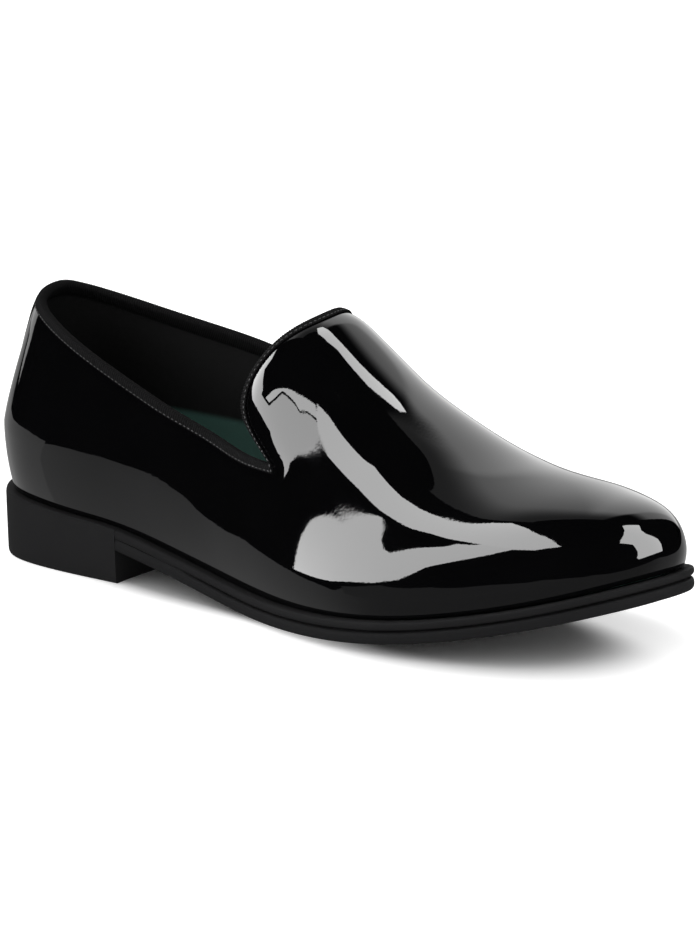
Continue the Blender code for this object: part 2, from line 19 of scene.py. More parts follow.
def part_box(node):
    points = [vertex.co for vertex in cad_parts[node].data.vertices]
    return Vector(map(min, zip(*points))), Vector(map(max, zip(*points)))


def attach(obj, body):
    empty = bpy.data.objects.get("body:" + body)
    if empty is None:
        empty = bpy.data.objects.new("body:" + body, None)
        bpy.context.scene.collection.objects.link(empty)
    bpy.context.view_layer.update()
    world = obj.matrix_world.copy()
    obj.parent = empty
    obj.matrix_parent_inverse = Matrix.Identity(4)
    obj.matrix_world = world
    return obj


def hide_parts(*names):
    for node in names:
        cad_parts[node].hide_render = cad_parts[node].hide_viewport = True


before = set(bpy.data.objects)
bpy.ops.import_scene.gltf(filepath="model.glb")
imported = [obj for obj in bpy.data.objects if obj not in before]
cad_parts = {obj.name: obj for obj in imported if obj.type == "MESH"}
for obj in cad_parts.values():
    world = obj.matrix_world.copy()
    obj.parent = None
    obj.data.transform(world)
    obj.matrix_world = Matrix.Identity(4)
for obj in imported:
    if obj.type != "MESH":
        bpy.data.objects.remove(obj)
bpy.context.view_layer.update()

LOG = logging.getLogger("dress_loafer")
MM = 0.001
TINY = 1e-9
WHITE = (1.0, 1.0, 1.0, 1.0)
RIB = "rib"

Rows = tuple[tuple[float, ...], ...]
Curve = Callable[[Any], np.ndarray]
Edge = list[tuple[int, int]]


class Slot(Enum):
    """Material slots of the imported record."""

    PATENT = "patent_leather"
    RIBBON = "ribbed_ribbon"
    SOCK = "green_sock"
    RUBBER = "sole_rubber"


# Curves and lines


class Spline:
    """Cubic spline through values at knots, with natural ends or closed on itself."""

    def __init__(self, knots: Sequence[float], values: Any, closed: bool = False) -> None:
        """Solves the spline.

        Args:
            knots: Rising places of the values.
            values: A number or a point for each knot.
            closed: Whether the end runs on into the start.
        """
        self.t = np.asarray(knots, float)
        self.p = np.asarray(values, float)
        self.h = np.diff(self.t)
        count = len(self.t)
        a = np.zeros((count, count))
        r = np.zeros(self.p.shape)
        h, p = self.h, self.p
        for i in range(1, count - 1):
            a[i, i - 1 : i + 2] = h[i - 1], 2.0 * (h[i - 1] + h[i]), h[i]
            r[i] = 6.0 * ((p[i + 1] - p[i]) / h[i] - (p[i] - p[i - 1]) / h[i - 1])
        a[0, 0] = a[-1, -1] = 1.0
        if closed:
            a[0, -1] = -1.0
            a[-1, :2] = 2.0 * h[0], h[0]
            a[-1, -2:] = h[-1], 2.0 * h[-1]
            r[-1] = 6.0 * ((p[1] - p[0]) / h[0] - (p[-1] - p[-2]) / h[-1])
        self.bends = np.linalg.solve(a, r)

    @classmethod
    def of_column(cls, rows: Rows, index: int) -> "Spline":
        """Curve of one table column over the table's first column."""
        table = np.array(rows)
        return cls(table[:, 0], table[:, index])

    def __call__(self, x: Any) -> np.ndarray:
        """Value at a place, held level past the ends.

        Args:
            x: One place or many.

        Returns:
            A value or point for each place.
        """
        x = np.clip(np.asarray(x, float), self.t[0], self.t[-1])
        i = np.clip(np.searchsorted(self.t, x) - 1, 0, len(self.t) - 2)
        lo, hi, w = x - self.t[i], self.t[i + 1] - x, self.h[i]
        if self.p.ndim > 1:
            lo, hi, w = lo[..., None], hi[..., None], w[..., None]
        a, b = self.bends[i], self.bends[i + 1]
        level = (self.p[i] / w - a * w / 6.0) * hi + (self.p[i + 1] / w - b * w / 6.0) * lo
        return level + (a * hi**3 + b * lo**3) / (6.0 * w)


def smooth_step(t: Any) -> np.ndarray:
    """Smooth change from 0 to 1 over the unit range."""
    t = np.clip(t, 0.0, 1.0)
    return t * t * (3.0 - 2.0 * t)


def mix(a: Any, b: Any, share: Any) -> Any:
    """Blend of two values."""
    return a * (1.0 - share) + b * share


def run_along(points: Any) -> np.ndarray:
    """Length along a line up to each of its points."""
    return np.r_[0.0, np.cumsum(np.linalg.norm(np.diff(points, axis=0), axis=1))]


def read_rows(want: Any, places: np.ndarray, rows: np.ndarray) -> np.ndarray:
    """Reads between rows of numbers, column by column.

    Args:
        want: Places to read at.
        places: Rising places of the rows.
        rows: One row for each place.

    Returns:
        One row for each place that is read at.
    """
    return np.stack([np.interp(want, places, column) for column in rows.T], axis=-1)


def spread(points: np.ndarray, count: int) -> np.ndarray:
    """Points at equal steps along a line through the given points.

    Args:
        points: The line's points, one per row.
        count: Number of steps.

    Returns:
        One more point than steps.
    """
    run = run_along(points)
    return read_rows(np.linspace(0.0, run[-1], count + 1), run, points)


def cut_corners(points: Sequence[Sequence[float]], rounds: int) -> np.ndarray:
    """Softens an open line by cutting its corners, with its ends kept.

    Args:
        points: The line's corners.
        rounds: How often the corners are cut.

    Returns:
        The softened line's points.
    """
    line = np.asarray(points, float)
    for _ in range(rounds):
        a, b = line[:-1], line[1:]
        inner = np.stack([0.75 * a + 0.25 * b, 0.25 * a + 0.75 * b], axis=1).reshape(-1, line.shape[1])
        line = np.vstack([line[:1], inner[1:-1], line[-1:]])
    return line


class PlanLine:
    """A closed line seen from above, with outward normals, read by place along it or by station."""

    def __init__(self, points: np.ndarray) -> None:
        """Keeps the line's points and works out its normals and its two sides.

        Args:
            points: The line's points in order, one per row.
        """
        self.points = points
        along = np.roll(points, -1, axis=0) - np.roll(points, 1, axis=0)
        along /= np.linalg.norm(along, axis=1)[:, None]
        self.normals = np.c_[along[:, 1], -along[:, 0]]
        if np.sum((points - points.mean(axis=0)) * self.normals) < 0.0:
            self.normals = -self.normals
        self.count = len(points)
        self.back = int(np.argmin(points[:, 0]))
        self.toe = int(np.argmax(points[:, 0]))
        self.tip = float(points[self.toe, 0])
        self.lateral = (self.back + np.arange((self.toe - self.back) % self.count + 1)) % self.count
        self.medial = ((self.toe + np.arange((self.back - self.toe) % self.count + 1)) % self.count)[::-1]

    def branch(self, side: int) -> np.ndarray:
        """Rows of one side from back to toe."""
        return self.lateral if side < 0 else self.medial

    def breadth(self, station: Any, side: int) -> np.ndarray:
        """Y of one side at a station."""
        rows = self.branch(side)
        return np.interp(station, self.points[rows, 0], self.points[rows, 1])

    def normal(self, station: Any, side: int) -> np.ndarray:
        """Outward normal of one side at a station.

        Args:
            station: One station or many.
            side: -1 for the lateral side and +1 for the medial side.

        Returns:
            A unit normal for each station.
        """
        rows = self.branch(side)
        n = read_rows(station, self.points[rows, 0], self.normals[rows])
        return n / np.linalg.norm(n, axis=-1, keepdims=True)

    def place(self, station: float, side: int) -> float:
        """Place along the line, in steps from its first point, at a station of one side.

        Args:
            station: The station.
            side: -1 for the lateral side and +1 for the medial side.

        Returns:
            The place.
        """
        rows = self.branch(side)
        steps = np.unwrap(rows, period=self.count)
        return float(np.interp(station, self.points[rows, 0], steps)) % self.count

    def at(self, place: float) -> tuple[np.ndarray, np.ndarray]:
        """Point and outward normal at a place along the line.

        Args:
            place: Steps from the first point.

        Returns:
            The point and the unit normal.
        """
        low = int(math.floor(place))
        a, b = low % self.count, (low + 1) % self.count
        normal = mix(self.normals[a], self.normals[b], place - low)
        return mix(self.points[a], self.points[b], place - low), normal / np.linalg.norm(normal)

    def medial_share(self) -> np.ndarray:
        """0 on the lateral side and 1 on the medial side, changing smoothly round the heel and the toe.

        Returns:
            The share at each of the line's points.
        """
        x = self.points[:, 0]
        lateral, medial = self.breadth(x, -1), self.breadth(x, 1)
        half = np.maximum((medial - lateral) / 2.0, TINY)
        return smooth_step(0.5 + 0.5 * (self.points[:, 1] - (lateral + medial) / 2.0) / half)

    def grown(self, lateral: Curve, medial: Curve) -> "PlanLine":
        """The line moved outwards by an amount for each side, given by station.

        Args:
            lateral: Amount on the lateral side.
            medial: Amount on the medial side.

        Returns:
            The new line.
        """
        x = self.points[:, 0]
        amount = mix(lateral(x), medial(x), self.medial_share())
        return PlanLine(self.points + self.normals * amount[:, None])


# Meshes


@dataclass
class Skin:
    """Points and faces gathered for one mesh, in millimetres of the last's frame."""

    points: list[Sequence[float]] = field(default_factory=list)
    faces: list[tuple[int, ...]] = field(default_factory=list)

    def add(self, points: Iterable[Sequence[float]]) -> list[int]:
        """Adds points and returns their numbers.

        Args:
            points: Points in millimetres.

        Returns:
            Their numbers in the skin.
        """
        first = len(self.points)
        self.points.extend(tuple(p) for p in points)
        return list(range(first, len(self.points)))

    def bridge(self, a: Sequence[int], b: Sequence[int], closed: bool = False) -> None:
        """Adds faces between two rows of points.

        Args:
            a: The first row's numbers.
            b: The second row's numbers.
            closed: Whether the rows run round and close.
        """
        pairs = list(zip(a, b))
        if closed:
            pairs.append(pairs[0])
        self.faces.extend((a0, a1, b1, b0) for (a0, b0), (a1, b1) in zip(pairs, pairs[1:]))

    def array(self) -> np.ndarray:
        """The points as one array."""
        return np.array(self.points, float)

    def normals(self) -> np.ndarray:
        """Unit normals at the points, from the faces around each.

        Returns:
            One normal per point.
        """
        points = self.array()
        quads = np.array([f if len(f) == 4 else (*f, f[2]) for f in self.faces])
        corners = points[quads]
        facing = np.cross(corners[:, 2] - corners[:, 0], corners[:, 3] - corners[:, 1])
        tri = quads[:, 2] == quads[:, 3]
        facing[tri] = np.cross(corners[tri, 1] - corners[tri, 0], corners[tri, 2] - corners[tri, 0])
        total = np.zeros_like(points)
        for k in range(4):
            np.add.at(total, quads[:, k], facing)
        return total / np.maximum(np.linalg.norm(total, axis=1, keepdims=True), 1e-12)

    def to_object(self, name: str, origin: np.ndarray, closed: bool = True,
                  sharp: float = 50.0) -> bpy.types.Object:
        """Makes a smooth mesh object in metres of the part's frame.

        Args:
            name: The object's name.
            origin: The part's origin in the last's frame.
            closed: Whether the faces close a body, so that they are turned outwards.
            sharp: Angle in degrees from which an edge stays sharp.

        Returns:
            The object, linked into the scene.
        """
        mesh = bpy.data.meshes.new(name)
        mesh.from_pydata(((self.array() - origin) * MM).tolist(), [], self.faces)
        if closed:
            work = bmesh.new()
            work.from_mesh(mesh)
            bmesh.ops.recalc_face_normals(work, faces=work.faces)
            work.to_mesh(mesh)
            work.free()
        mesh.shade_smooth()
        mesh.set_sharp_from_angle(angle=math.radians(sharp))
        obj = bpy.data.objects.new(name, mesh)
        bpy.context.scene.collection.objects.link(obj)
        return obj


def thicken(obj: bpy.types.Object, thickness: float, offset: float) -> None:
    """Gives an open skin a wall and keeps the result as the object's mesh.

    Args:
        obj: The skin's object.
        thickness: Wall in millimetres.
        offset: -1 for a wall on the inside, +1 for one on the outside.
    """
    wall = obj.modifiers.new("wall", "SOLIDIFY")
    wall.thickness = thickness * MM
    wall.offset = offset
    graph = bpy.context.evaluated_depsgraph_get()
    solid = bpy.data.meshes.new_from_object(obj.evaluated_get(graph))
    obj.modifiers.clear()
    skin = obj.data
    obj.data = solid
    bpy.data.meshes.remove(skin)
    solid.name = obj.name


# The last


@dataclass
class LoaferLast:
    """The shape that the shoe is made over, with the lines of its sole, wall, collar and tongue."""

    sole_rows: Rows = (
        # station, lateral breadth, medial breadth
        (4.0, 15.8, 14.8), (16.0, 28.2, 26.8), (36.0, 34.0, 32.8), (66.0, 35.4, 32.2), (98.0, 36.0, 28.6),
        (128.0, 40.0, 27.6), (158.0, 46.8, 32.2), (186.0, 52.0, 40.5), (208.0, 53.2, 45.8),
        (228.0, 51.0, 48.4), (248.0, 44.7, 47.8), (266.0, 35.8, 44.2), (281.0, 24.8, 37.4),
        (293.0, 11.0, 27.0),
    )
    toe_tip: tuple[float, float] = (301.2, 9.4)
    outline_steps: int = 1600
    heel_length: float = 78.0
    breast_hollow: float = 3.6
    breast_height: float = 12.1
    seat_height: float = 25.0
    seat_dish: float = 0.25
    sole_edge: float = 7.8
    tread_station: float = 167.0
    tread_edge: float = 1.2
    tread_flat: float = 0.35
    spring_station: float = 300.0
    toe_spring: float = 20.0
    feather_stations: tuple[float, ...] = (
        100.0, 120.0, 140.0, 160.0, 180.0, 200.0, 225.0, 250.0, 275.0, 302.0,
    )
    seam_gap: float = 0.3
    wall_rows: Rows = (
        # station, lateral overhang, medial overhang, tuck height, lateral tuck, medial tuck
        (0.0, -0.4, -0.4, 24.0, 2.6, 2.6), (36.0, -0.4, -0.4, 24.0, 2.6, 2.6),
        (66.0, -0.6, 0.2, 24.0, 2.4, 3.2), (98.0, -0.8, 2.6, 24.0, 2.4, 5.4),
        (128.0, -1.0, 4.4, 24.0, 2.4, 7.0), (158.0, -1.4, 3.0, 20.0, 2.2, 5.4),
        (186.0, -1.7, 0.0, 15.0, 1.8, 2.6), (208.0, -1.9, -1.4, 12.0, 1.6, 1.6),
        (248.0, -2.0, -2.0, 10.0, 1.4, 1.4), (302.0, -2.0, -2.0, 9.0, 1.4, 1.4),
    )
    tuck_power: float = 2.2
    arch_rows: Rows = (
        # station, ridge over the feather line, squareness, shoulder, ridge's shift to the medial side
        (95.0, 91.0, 0.17, 0.05, 7.0), (131.0, 90.5, 0.17, 0.05, 8.0), (145.0, 94.0, 0.16, 0.05, 8.2),
        (160.0, 87.6, 0.13, 0.03, 8.5), (180.0, 73.0, 0.08, 0.01, 8.2), (200.0, 61.0, 0.05, 0.00, 7.2),
        (220.0, 49.8, 0.06, 0.02, 6.0), (240.0, 41.0, 0.10, 0.06, 4.4), (260.0, 35.2, 0.14, 0.10, 2.8),
        (280.0, 31.4, 0.14, 0.10, 1.2), (302.0, 31.0, 0.14, 0.10, 0.0),
    )
    toe_round_station: float = 240.0
    toe_round_power: float = 3.45
    collar_rows: Rows = (
        # station, lateral height, medial height, lean
        (0.0, 98.4, 98.4, 17.5), (20.0, 95.0, 93.4, 12.5), (45.0, 87.6, 87.0, 6.5), (80.0, 74.8, 81.6, 2.8),
        (115.0, 63.0, 74.5, 2.2), (145.0, 56.2, 62.0, 2.2), (160.0, 55.2, 55.2, 2.2),
    )
    lean_power: float = 1.2
    quarter_blend: tuple[float, float] = (95.0, 131.0)
    back_station: float = 40.0
    back_breadth: float = 25.0
    notch_station: float = 160.0
    vamp_station: float = 172.0
    notch_share: float = 0.52
    tongue_rows: Rows = (
        # place across, 0 on the ridge and 1 at a notch, and the station of the edge there
        (0.0, 151.5), (0.30, 146.0), (0.55, 139.0), (0.72, 138.0), (0.86, 143.0), (0.94, 151.0), (1.0, 160.0),
    )
    section_steps: int = 420
    rib_steps: int = 160

    def __post_init__(self) -> None:
        """Works out the lines and curves from the tables."""
        self.sole = self._sole_outline()
        self.feather = self._feather_line()
        self.lateral_tuck = Spline.of_column(self.wall_rows, 4)
        self.medial_tuck = Spline.of_column(self.wall_rows, 5)
        self.tuck_height = Spline.of_column(self.wall_rows, 3)
        self.wall = self.sole.grown(Spline.of_column(self.wall_rows, 1), Spline.of_column(self.wall_rows, 2))
        self.arch_columns = [Spline.of_column(self.arch_rows, k) for k in (1, 2, 3, 4)]
        self.collar = [Spline.of_column(self.collar_rows, k) for k in (1, 2, 3)]
        mirrored = tuple((-place, x) for place, x in self.tongue_rows[:0:-1])
        self.tongue_edge = Spline.of_column(mirrored + self.tongue_rows, 1)

    def _sole_outline(self) -> PlanLine:
        """Outline of the sole from above.

        Returns:
            The outline.
        """
        lateral = [(x, -breadth) for x, breadth, _ in self.sole_rows]
        medial = [(x, breadth) for x, _, breadth in self.sole_rows]
        points = np.array([(0.0, 0.0)] + lateral + [self.toe_tip] + medial[::-1] + [(0.0, 0.0)])
        run = run_along(points)
        want = np.linspace(0.0, run[-1], self.outline_steps, endpoint=False)
        return PlanLine(Spline(run, points, closed=True)(want))

    def _feather_line(self) -> Spline:
        """Height of the sole's top, where upper and sole meet, along the shoe.

        Returns:
            The height by station.
        """
        breast = self.breast_height + self.sole_edge
        stations, heights = [], []
        for share in (0.0, 1.0 / 3.0, 2.0 / 3.0, 1.0):
            stations.append(share * self.heel_length)
            heights.append(mix(self.seat_height, breast, share - self.seat_dish * share * (1.0 - share)))
        for x in self.feather_stations:
            stations.append(x)
            heights.append(float(self.lower_edge(x)) + self.sole_edge)
        return Spline(stations, heights)

    def lower_edge(self, x: Any) -> np.ndarray:
        """Height of the sole's lower edge: the arch behind the tread and the toe spring ahead of it.

        Args:
            x: One station or many.

        Returns:
            The heights.
        """
        x = np.asarray(x, float)
        ahead = np.clip((x - self.tread_station) / (self.spring_station - self.tread_station), 0.0, None)
        behind = np.clip((self.tread_station - x) / (self.tread_station - self.heel_length), 0.0, None)
        rise = (self.breast_height - self.tread_edge) * (1.5 * behind**2 - 0.5 * behind**3)
        return self.tread_edge + self.toe_spring * ahead**2 + rise

    def tread(self, x: Any) -> np.ndarray:
        """Height of the tread inside the sole's edge, flat on the floor under the ball."""
        return np.maximum(self.lower_edge(x) - self.tread_edge - self.tread_flat, 0.0)

    def seat(self, x: Any) -> np.ndarray:
        """Lower edge of the upper and of the insole, just clear of the sole."""
        return self.feather(x) + self.seam_gap

    def ridge(self, x: Any) -> np.ndarray:
        """Height of the vamp's ridge over the feather line, rounded down to nothing at the toe's tip."""
        t = np.clip((x - self.toe_round_station) / (self.wall.tip - self.toe_round_station), 0.0, 1.0)
        return self.arch_columns[0](x) * np.sqrt(1.0 - t**self.toe_round_power)

    def arch(self, x: float) -> np.ndarray:
        """Section of the upper across the vamp, from the lateral to the medial side, before the tuck.

        Args:
            x: Station.

        Returns:
            The section's points.
        """
        lateral, medial = self.wall.breadth(x, -1), self.wall.breadth(x, 1)
        _, squareness, shoulder, shift = (curve(x) for curve in self.arch_columns)
        turn = np.linspace(0.0, math.pi, self.section_steps + 1)
        c, s = np.cos(turn), np.sin(turn)
        middle, half = (lateral + medial) / 2.0, (medial - lateral) / 2.0
        y = middle - half * c * (1.0 + squareness * s * s) + shift * s * s
        z = self.seat(x) + self.ridge(x) * s * (1.0 + shoulder * c * c)
        return np.c_[np.full(len(turn), x), y, z]

    def tuck_share(self, x: Any, z: Any) -> np.ndarray:
        """Share of the tuck at a height: all of it at the feather line, none from the widest line up."""
        return np.clip(1.0 - (z - self.seat(x)) / self.tuck_height(x), 0.0, 1.0) ** self.tuck_power

    def tucked(self, points: np.ndarray) -> np.ndarray:
        """Draws a section's two sides in below the widest line of the wall.

        Args:
            points: The section's points.

        Returns:
            The moved points.
        """
        x, y, z = points.T
        lateral, medial = self.wall.breadth(x, -1), self.wall.breadth(x, 1)
        share = smooth_step((y - lateral) / np.maximum(medial - lateral, TINY))
        inwards = -mix(self.wall.normal(x, -1), self.wall.normal(x, 1), share[:, None])
        amount = mix(self.lateral_tuck(x), self.medial_tuck(x), share) * self.tuck_share(x, z)
        moved = points.copy()
        moved[:, :2] += inwards * amount[:, None]
        return moved

    def section(self, x: float, wall: int, crown: int) -> np.ndarray:
        """Grid points across the vamp: lateral wall to the notch's level, crown, medial wall.

        Args:
            x: Station.
            wall: Columns in each wall.
            crown: Columns in the crown.

        Returns:
            Points from the lateral to the medial feather line.
        """
        points = self.arch(x)
        level = self.seat(x) + self.notch_share * self.ridge(x)
        top = int(np.argmax(points[:, 2]))
        steps = np.arange(len(points))
        left = np.interp(level, points[: top + 1, 2], steps[: top + 1])
        right = np.interp(-level, -points[top:, 2], steps[top:])
        marks = read_rows([left, right], steps, points)
        first, last = int(math.ceil(left)), int(math.floor(right))
        whole = np.vstack([points[:first], marks[0], points[first : last + 1], marks[1], points[last + 1 :]])
        whole = self.tucked(whole)
        near, far = spread(whole[: first + 1], wall), spread(whole[last + 2 :], wall)
        return np.vstack([near, spread(whole[first : last + 3], crown)[1:], far[1:]])

    def arch_breadth(self, x: float, z: Any, side: int) -> np.ndarray:
        """Breadth of the vamp's section at a station and heights on one side.

        Args:
            x: Station.
            z: Heights.
            side: -1 for the lateral side and +1 for the medial side.

        Returns:
            Y at each height.
        """
        points = self.arch(x)
        top = int(np.argmax(points[:, 2]))
        if side < 0:
            return np.interp(z, points[: top + 1, 2], points[: top + 1, 1])
        return np.interp(-z, -points[top:, 2], points[top:, 1])

    def rib(self, place: float) -> np.ndarray:
        """Line up the quarter's outside from the feather line to the collar, at a place along the wall.

        Args:
            place: Place along the wall's line.

        Returns:
            The line's points.
        """
        (x, y), normal = self.wall.at(place)
        side = -1 if y < 0.0 else 1
        share = 0.5 + 0.5 * side
        if x < self.back_station:
            share = smooth_step(0.5 + 0.5 * y / self.back_breadth)
        lateral, medial, lean = (curve(x) for curve in self.collar)
        low, top = self.seat(x), mix(lateral, medial, share)
        z = np.linspace(low, top, self.rib_steps + 1)
        widest = low + self.tuck_height(x)
        leaning = lean * np.clip((z - widest) / (top - widest), 0.0, 1.0) ** self.lean_power
        start, end = self.quarter_blend
        vamp_share = smooth_step((x - start) / (end - start))
        xs = x - normal[0] * leaning * (1.0 - vamp_share)
        ys = mix(y - normal[1] * leaning, self.arch_breadth(x, z, side), vamp_share)
        tuck = mix(self.lateral_tuck(x), self.medial_tuck(x), share) * self.tuck_share(x, z)
        return np.c_[xs - normal[0] * tuck, ys - normal[1] * tuck, z]

    def breast_line(self, y: Any) -> np.ndarray:
        """Station of the heel's hollow front face across the shoe.

        Args:
            y: Places across the shoe.

        Returns:
            The stations.
        """
        lateral, medial = self.sole.breadth(self.heel_length, -1), self.sole.breadth(self.heel_length, 1)
        across = (y - (lateral + medial) / 2.0) / ((medial - lateral) / 2.0)
        return self.heel_length - self.breast_hollow * (1.0 - across**2)

    def origin(self) -> np.ndarray:
        """The part's origin in this frame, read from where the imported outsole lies."""
        low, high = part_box("outsole")
        return np.array([self.sole.tip - high.x / MM, self.sole.points[:, 1].min() - low.y / MM, 0.0])


# Shader nodes


class Wire:
    """A shader value that takes part in Python arithmetic."""

    def __init__(self, kit: "NodeKit", socket: bpy.types.NodeSocket) -> None:
        """Wraps an output socket of a material's tree."""
        self.kit = kit
        self.socket = socket

    def _math(self, operation: str, first: Any, second: Any) -> "Wire":
        """Adds a Math node for two values."""
        return self.kit.wire("ShaderNodeMath", {"operation": operation}, {0: first, 1: second})

    def __add__(self, other: Any) -> "Wire":
        """Sum."""
        return self._math("ADD", self, other)

    __radd__ = __add__

    def __sub__(self, other: Any) -> "Wire":
        """Difference."""
        return self._math("SUBTRACT", self, other)

    def __rsub__(self, other: Any) -> "Wire":
        """Difference from a number."""
        return self._math("SUBTRACT", other, self)

    def __mul__(self, other: Any) -> "Wire":
        """Product."""
        return self._math("MULTIPLY", self, other)

    __rmul__ = __mul__

    def step(self, low: float, high: float) -> "Wire":
        """Smooth change from 0 at low to 1 at high."""
        sockets = {"Value": self, "From Min": low, "From Max": high}
        return self.kit.wire("ShaderNodeMapRange", {"interpolation_type": "SMOOTHSTEP"}, sockets)


class NodeKit:
    """Adds nodes to one material's tree."""

    def __init__(self, tree: bpy.types.NodeTree) -> None:
        """Keeps the tree."""
        self.tree = tree

    def node(self, kind: str, settings: dict[str, Any], sockets: dict[Any, Any]) -> bpy.types.Node:
        """Adds a node.

        Args:
            kind: The node's type.
            settings: Its properties, set first.
            sockets: Values or wires of its inputs, by name or number.

        Returns:
            The node.
        """
        node = self.tree.nodes.new(kind)
        for name, value in settings.items():
            setattr(node, name, value)
        self.feed(node, sockets)
        return node

    def feed(self, node: bpy.types.Node, sockets: dict[Any, Any]) -> None:
        """Links or sets a node's inputs.

        Args:
            node: The node.
            sockets: Values or wires of its inputs, by name or number.
        """
        for key, value in sockets.items():
            if isinstance(value, Wire):
                self.tree.links.new(value.socket, node.inputs[key])
            else:
                node.inputs[key].default_value = value

    def wire(self, kind: str, settings: dict[str, Any], sockets: dict[Any, Any], output: Any = 0) -> Wire:
        """Adds a node and returns one of its outputs."""
        return Wire(self, self.node(kind, settings, sockets).outputs[output])

    def place(self) -> Wire:
        """Place on the object in metres of the part's frame."""
        return self.wire("ShaderNodeTexCoord", {}, {}, "Object")

    def height(self) -> Wire:
        """Height over the floor in metres."""
        return self.wire("ShaderNodeSeparateXYZ", {}, {0: self.place()}, "Z")

    def towards(self, azimuth: float) -> Wire:
        """Cosine, seen from above, between the way to a place and an azimuth in degrees.

        Args:
            azimuth: Degrees from the toe's direction towards the medial side.

        Returns:
            The cosine.
        """
        turn = math.radians(azimuth)
        flat = self.vector("NORMALIZE", self.vector("MULTIPLY", self.place(), (1.0, 1.0, 0.0)))
        return self.vector("DOT_PRODUCT", flat, (math.cos(turn), math.sin(turn), 0.0), output="Value")

    def vector(self, operation: str, *vectors: Any, output: Any = 0) -> Wire:
        """Adds a Vector Math node for one or two vectors."""
        return self.wire("ShaderNodeVectorMath", {"operation": operation}, dict(enumerate(vectors)), output)

    def attribute(self, name: str) -> Wire:
        """A number kept at the mesh's points."""
        return self.wire("ShaderNodeAttribute", {"attribute_name": name}, {}, "Fac")

    def noise(self, size: float, detail: float) -> Wire:
        """Cloudy value from 0 to 1.

        Args:
            size: Size of the clouds in millimetres.
            detail: Number of finer layers.

        Returns:
            The value.
        """
        sockets = {"Vector": self.place(), "Scale": 1.0 / (size * MM), "Detail": detail}
        return self.wire("ShaderNodeTexNoise", {}, sockets)

    def cells(self, size: float) -> Wire:
        """Distance to the nearest of scattered points, as in grained leather.

        Args:
            size: Size of the cells in millimetres.

        Returns:
            The value.
        """
        sockets = {"Vector": self.place(), "Scale": 1.0 / (size * MM)}
        return self.wire("ShaderNodeTexVoronoi", {"feature": "F1"}, sockets, "Distance")

    def blend(self, share: Any, a: Any, b: Any) -> Wire:
        """Colour between two colours, each a wire or three numbers."""
        ends = [c if isinstance(c, Wire) else (*c, 1.0) for c in (a, b)]
        return self.wire("ShaderNodeMix", {"data_type": "RGBA"}, {0: share, 6: ends[0], 7: ends[1]}, 2)

    def bump(self, height: Wire, depth: float) -> Wire:
        """Normal of a surface with small relief.

        Args:
            height: Relief from 0 to 1.
            depth: Its depth in millimetres.

        Returns:
            The normal.
        """
        sockets = {"Height": height, "Strength": 1.0, "Distance": depth * MM}
        return self.wire("ShaderNodeBump", {}, sockets, "Normal")


def new_material(name: str) -> tuple[bpy.types.Material, NodeKit, bpy.types.Node]:
    """Makes a material with one Principled shader.

    Args:
        name: The material's name.

    Returns:
        The material, a kit for its tree and the shader.
    """
    material = bpy.data.materials.new(name)
    material.use_nodes = True
    kit = NodeKit(material.node_tree)
    return material, kit, material.node_tree.nodes["Principled BSDF"]


@dataclass(frozen=True)
class Finish:
    """A finish on the shader's own sockets, with what changes over the surface added by its kind."""

    name: str
    colour: tuple[float, float, float]
    roughness: float
    ior: float = 1.5
    specular: float = 0.5
    tones: tuple[float, float] = (0.8, 1.2)

    def material(self) -> bpy.types.Material:
        """Makes the finish's material.

        Returns:
            The material.
        """
        material, kit, shader = new_material(self.name)
        kit.feed(shader, {
            "Base Color": (*self.colour, 1.0),
            "Roughness": self.roughness,
            "IOR": self.ior,
            "Specular IOR Level": self.specular,
        })
        material.diffuse_color = (*self.colour, 1.0)
        kit.feed(shader, self.surface(kit))
        return material

    def toned(self, kit: NodeKit, share: Wire) -> Wire:
        """The finish's colour between its darkest and its lightest tone."""
        dark, light = (tuple(tone * c for c in self.colour) for tone in self.tones)
        return kit.blend(share, dark, light)

    def surface(self, kit: NodeKit) -> dict[str, Any]:
        """Shader inputs of this kind of finish."""
        return {}


@dataclass(frozen=True)
class Patent(Finish):
    """Black leather under a clear mirror film with the film's faint orange peel."""

    tones: tuple[float, float] = (1.0, 1.6)
    peel_size: float = 1.0
    peel_layers: float = 3.0
    peel_depth: float = 0.007
    peel_least: float = 0.25
    peel_edge: tuple[float, float] = (0.4, 0.65)
    patch_size: float = 26.0
    patch_layers: float = 2.0
    haze: float = 0.02
    haze_edge: tuple[float, float] = (0.45, 0.8)

    def surface(self, kit: NodeKit) -> dict[str, Any]:
        """Film with a faint peel, stronger in patches, and a little uneven haze.

        Args:
            kit: Adds nodes to the material's tree.

        Returns:
            The shader's inputs by name.
        """
        patches = kit.noise(self.patch_size, self.patch_layers)
        strength = self.peel_least + (1.0 - self.peel_least) * patches.step(*self.peel_edge)
        return {
            "Base Color": self.toned(kit, patches),
            "Roughness": self.roughness + self.haze * patches.step(*self.haze_edge),
            "Normal": kit.bump(kit.noise(self.peel_size, self.peel_layers) * strength, self.peel_depth),
        }


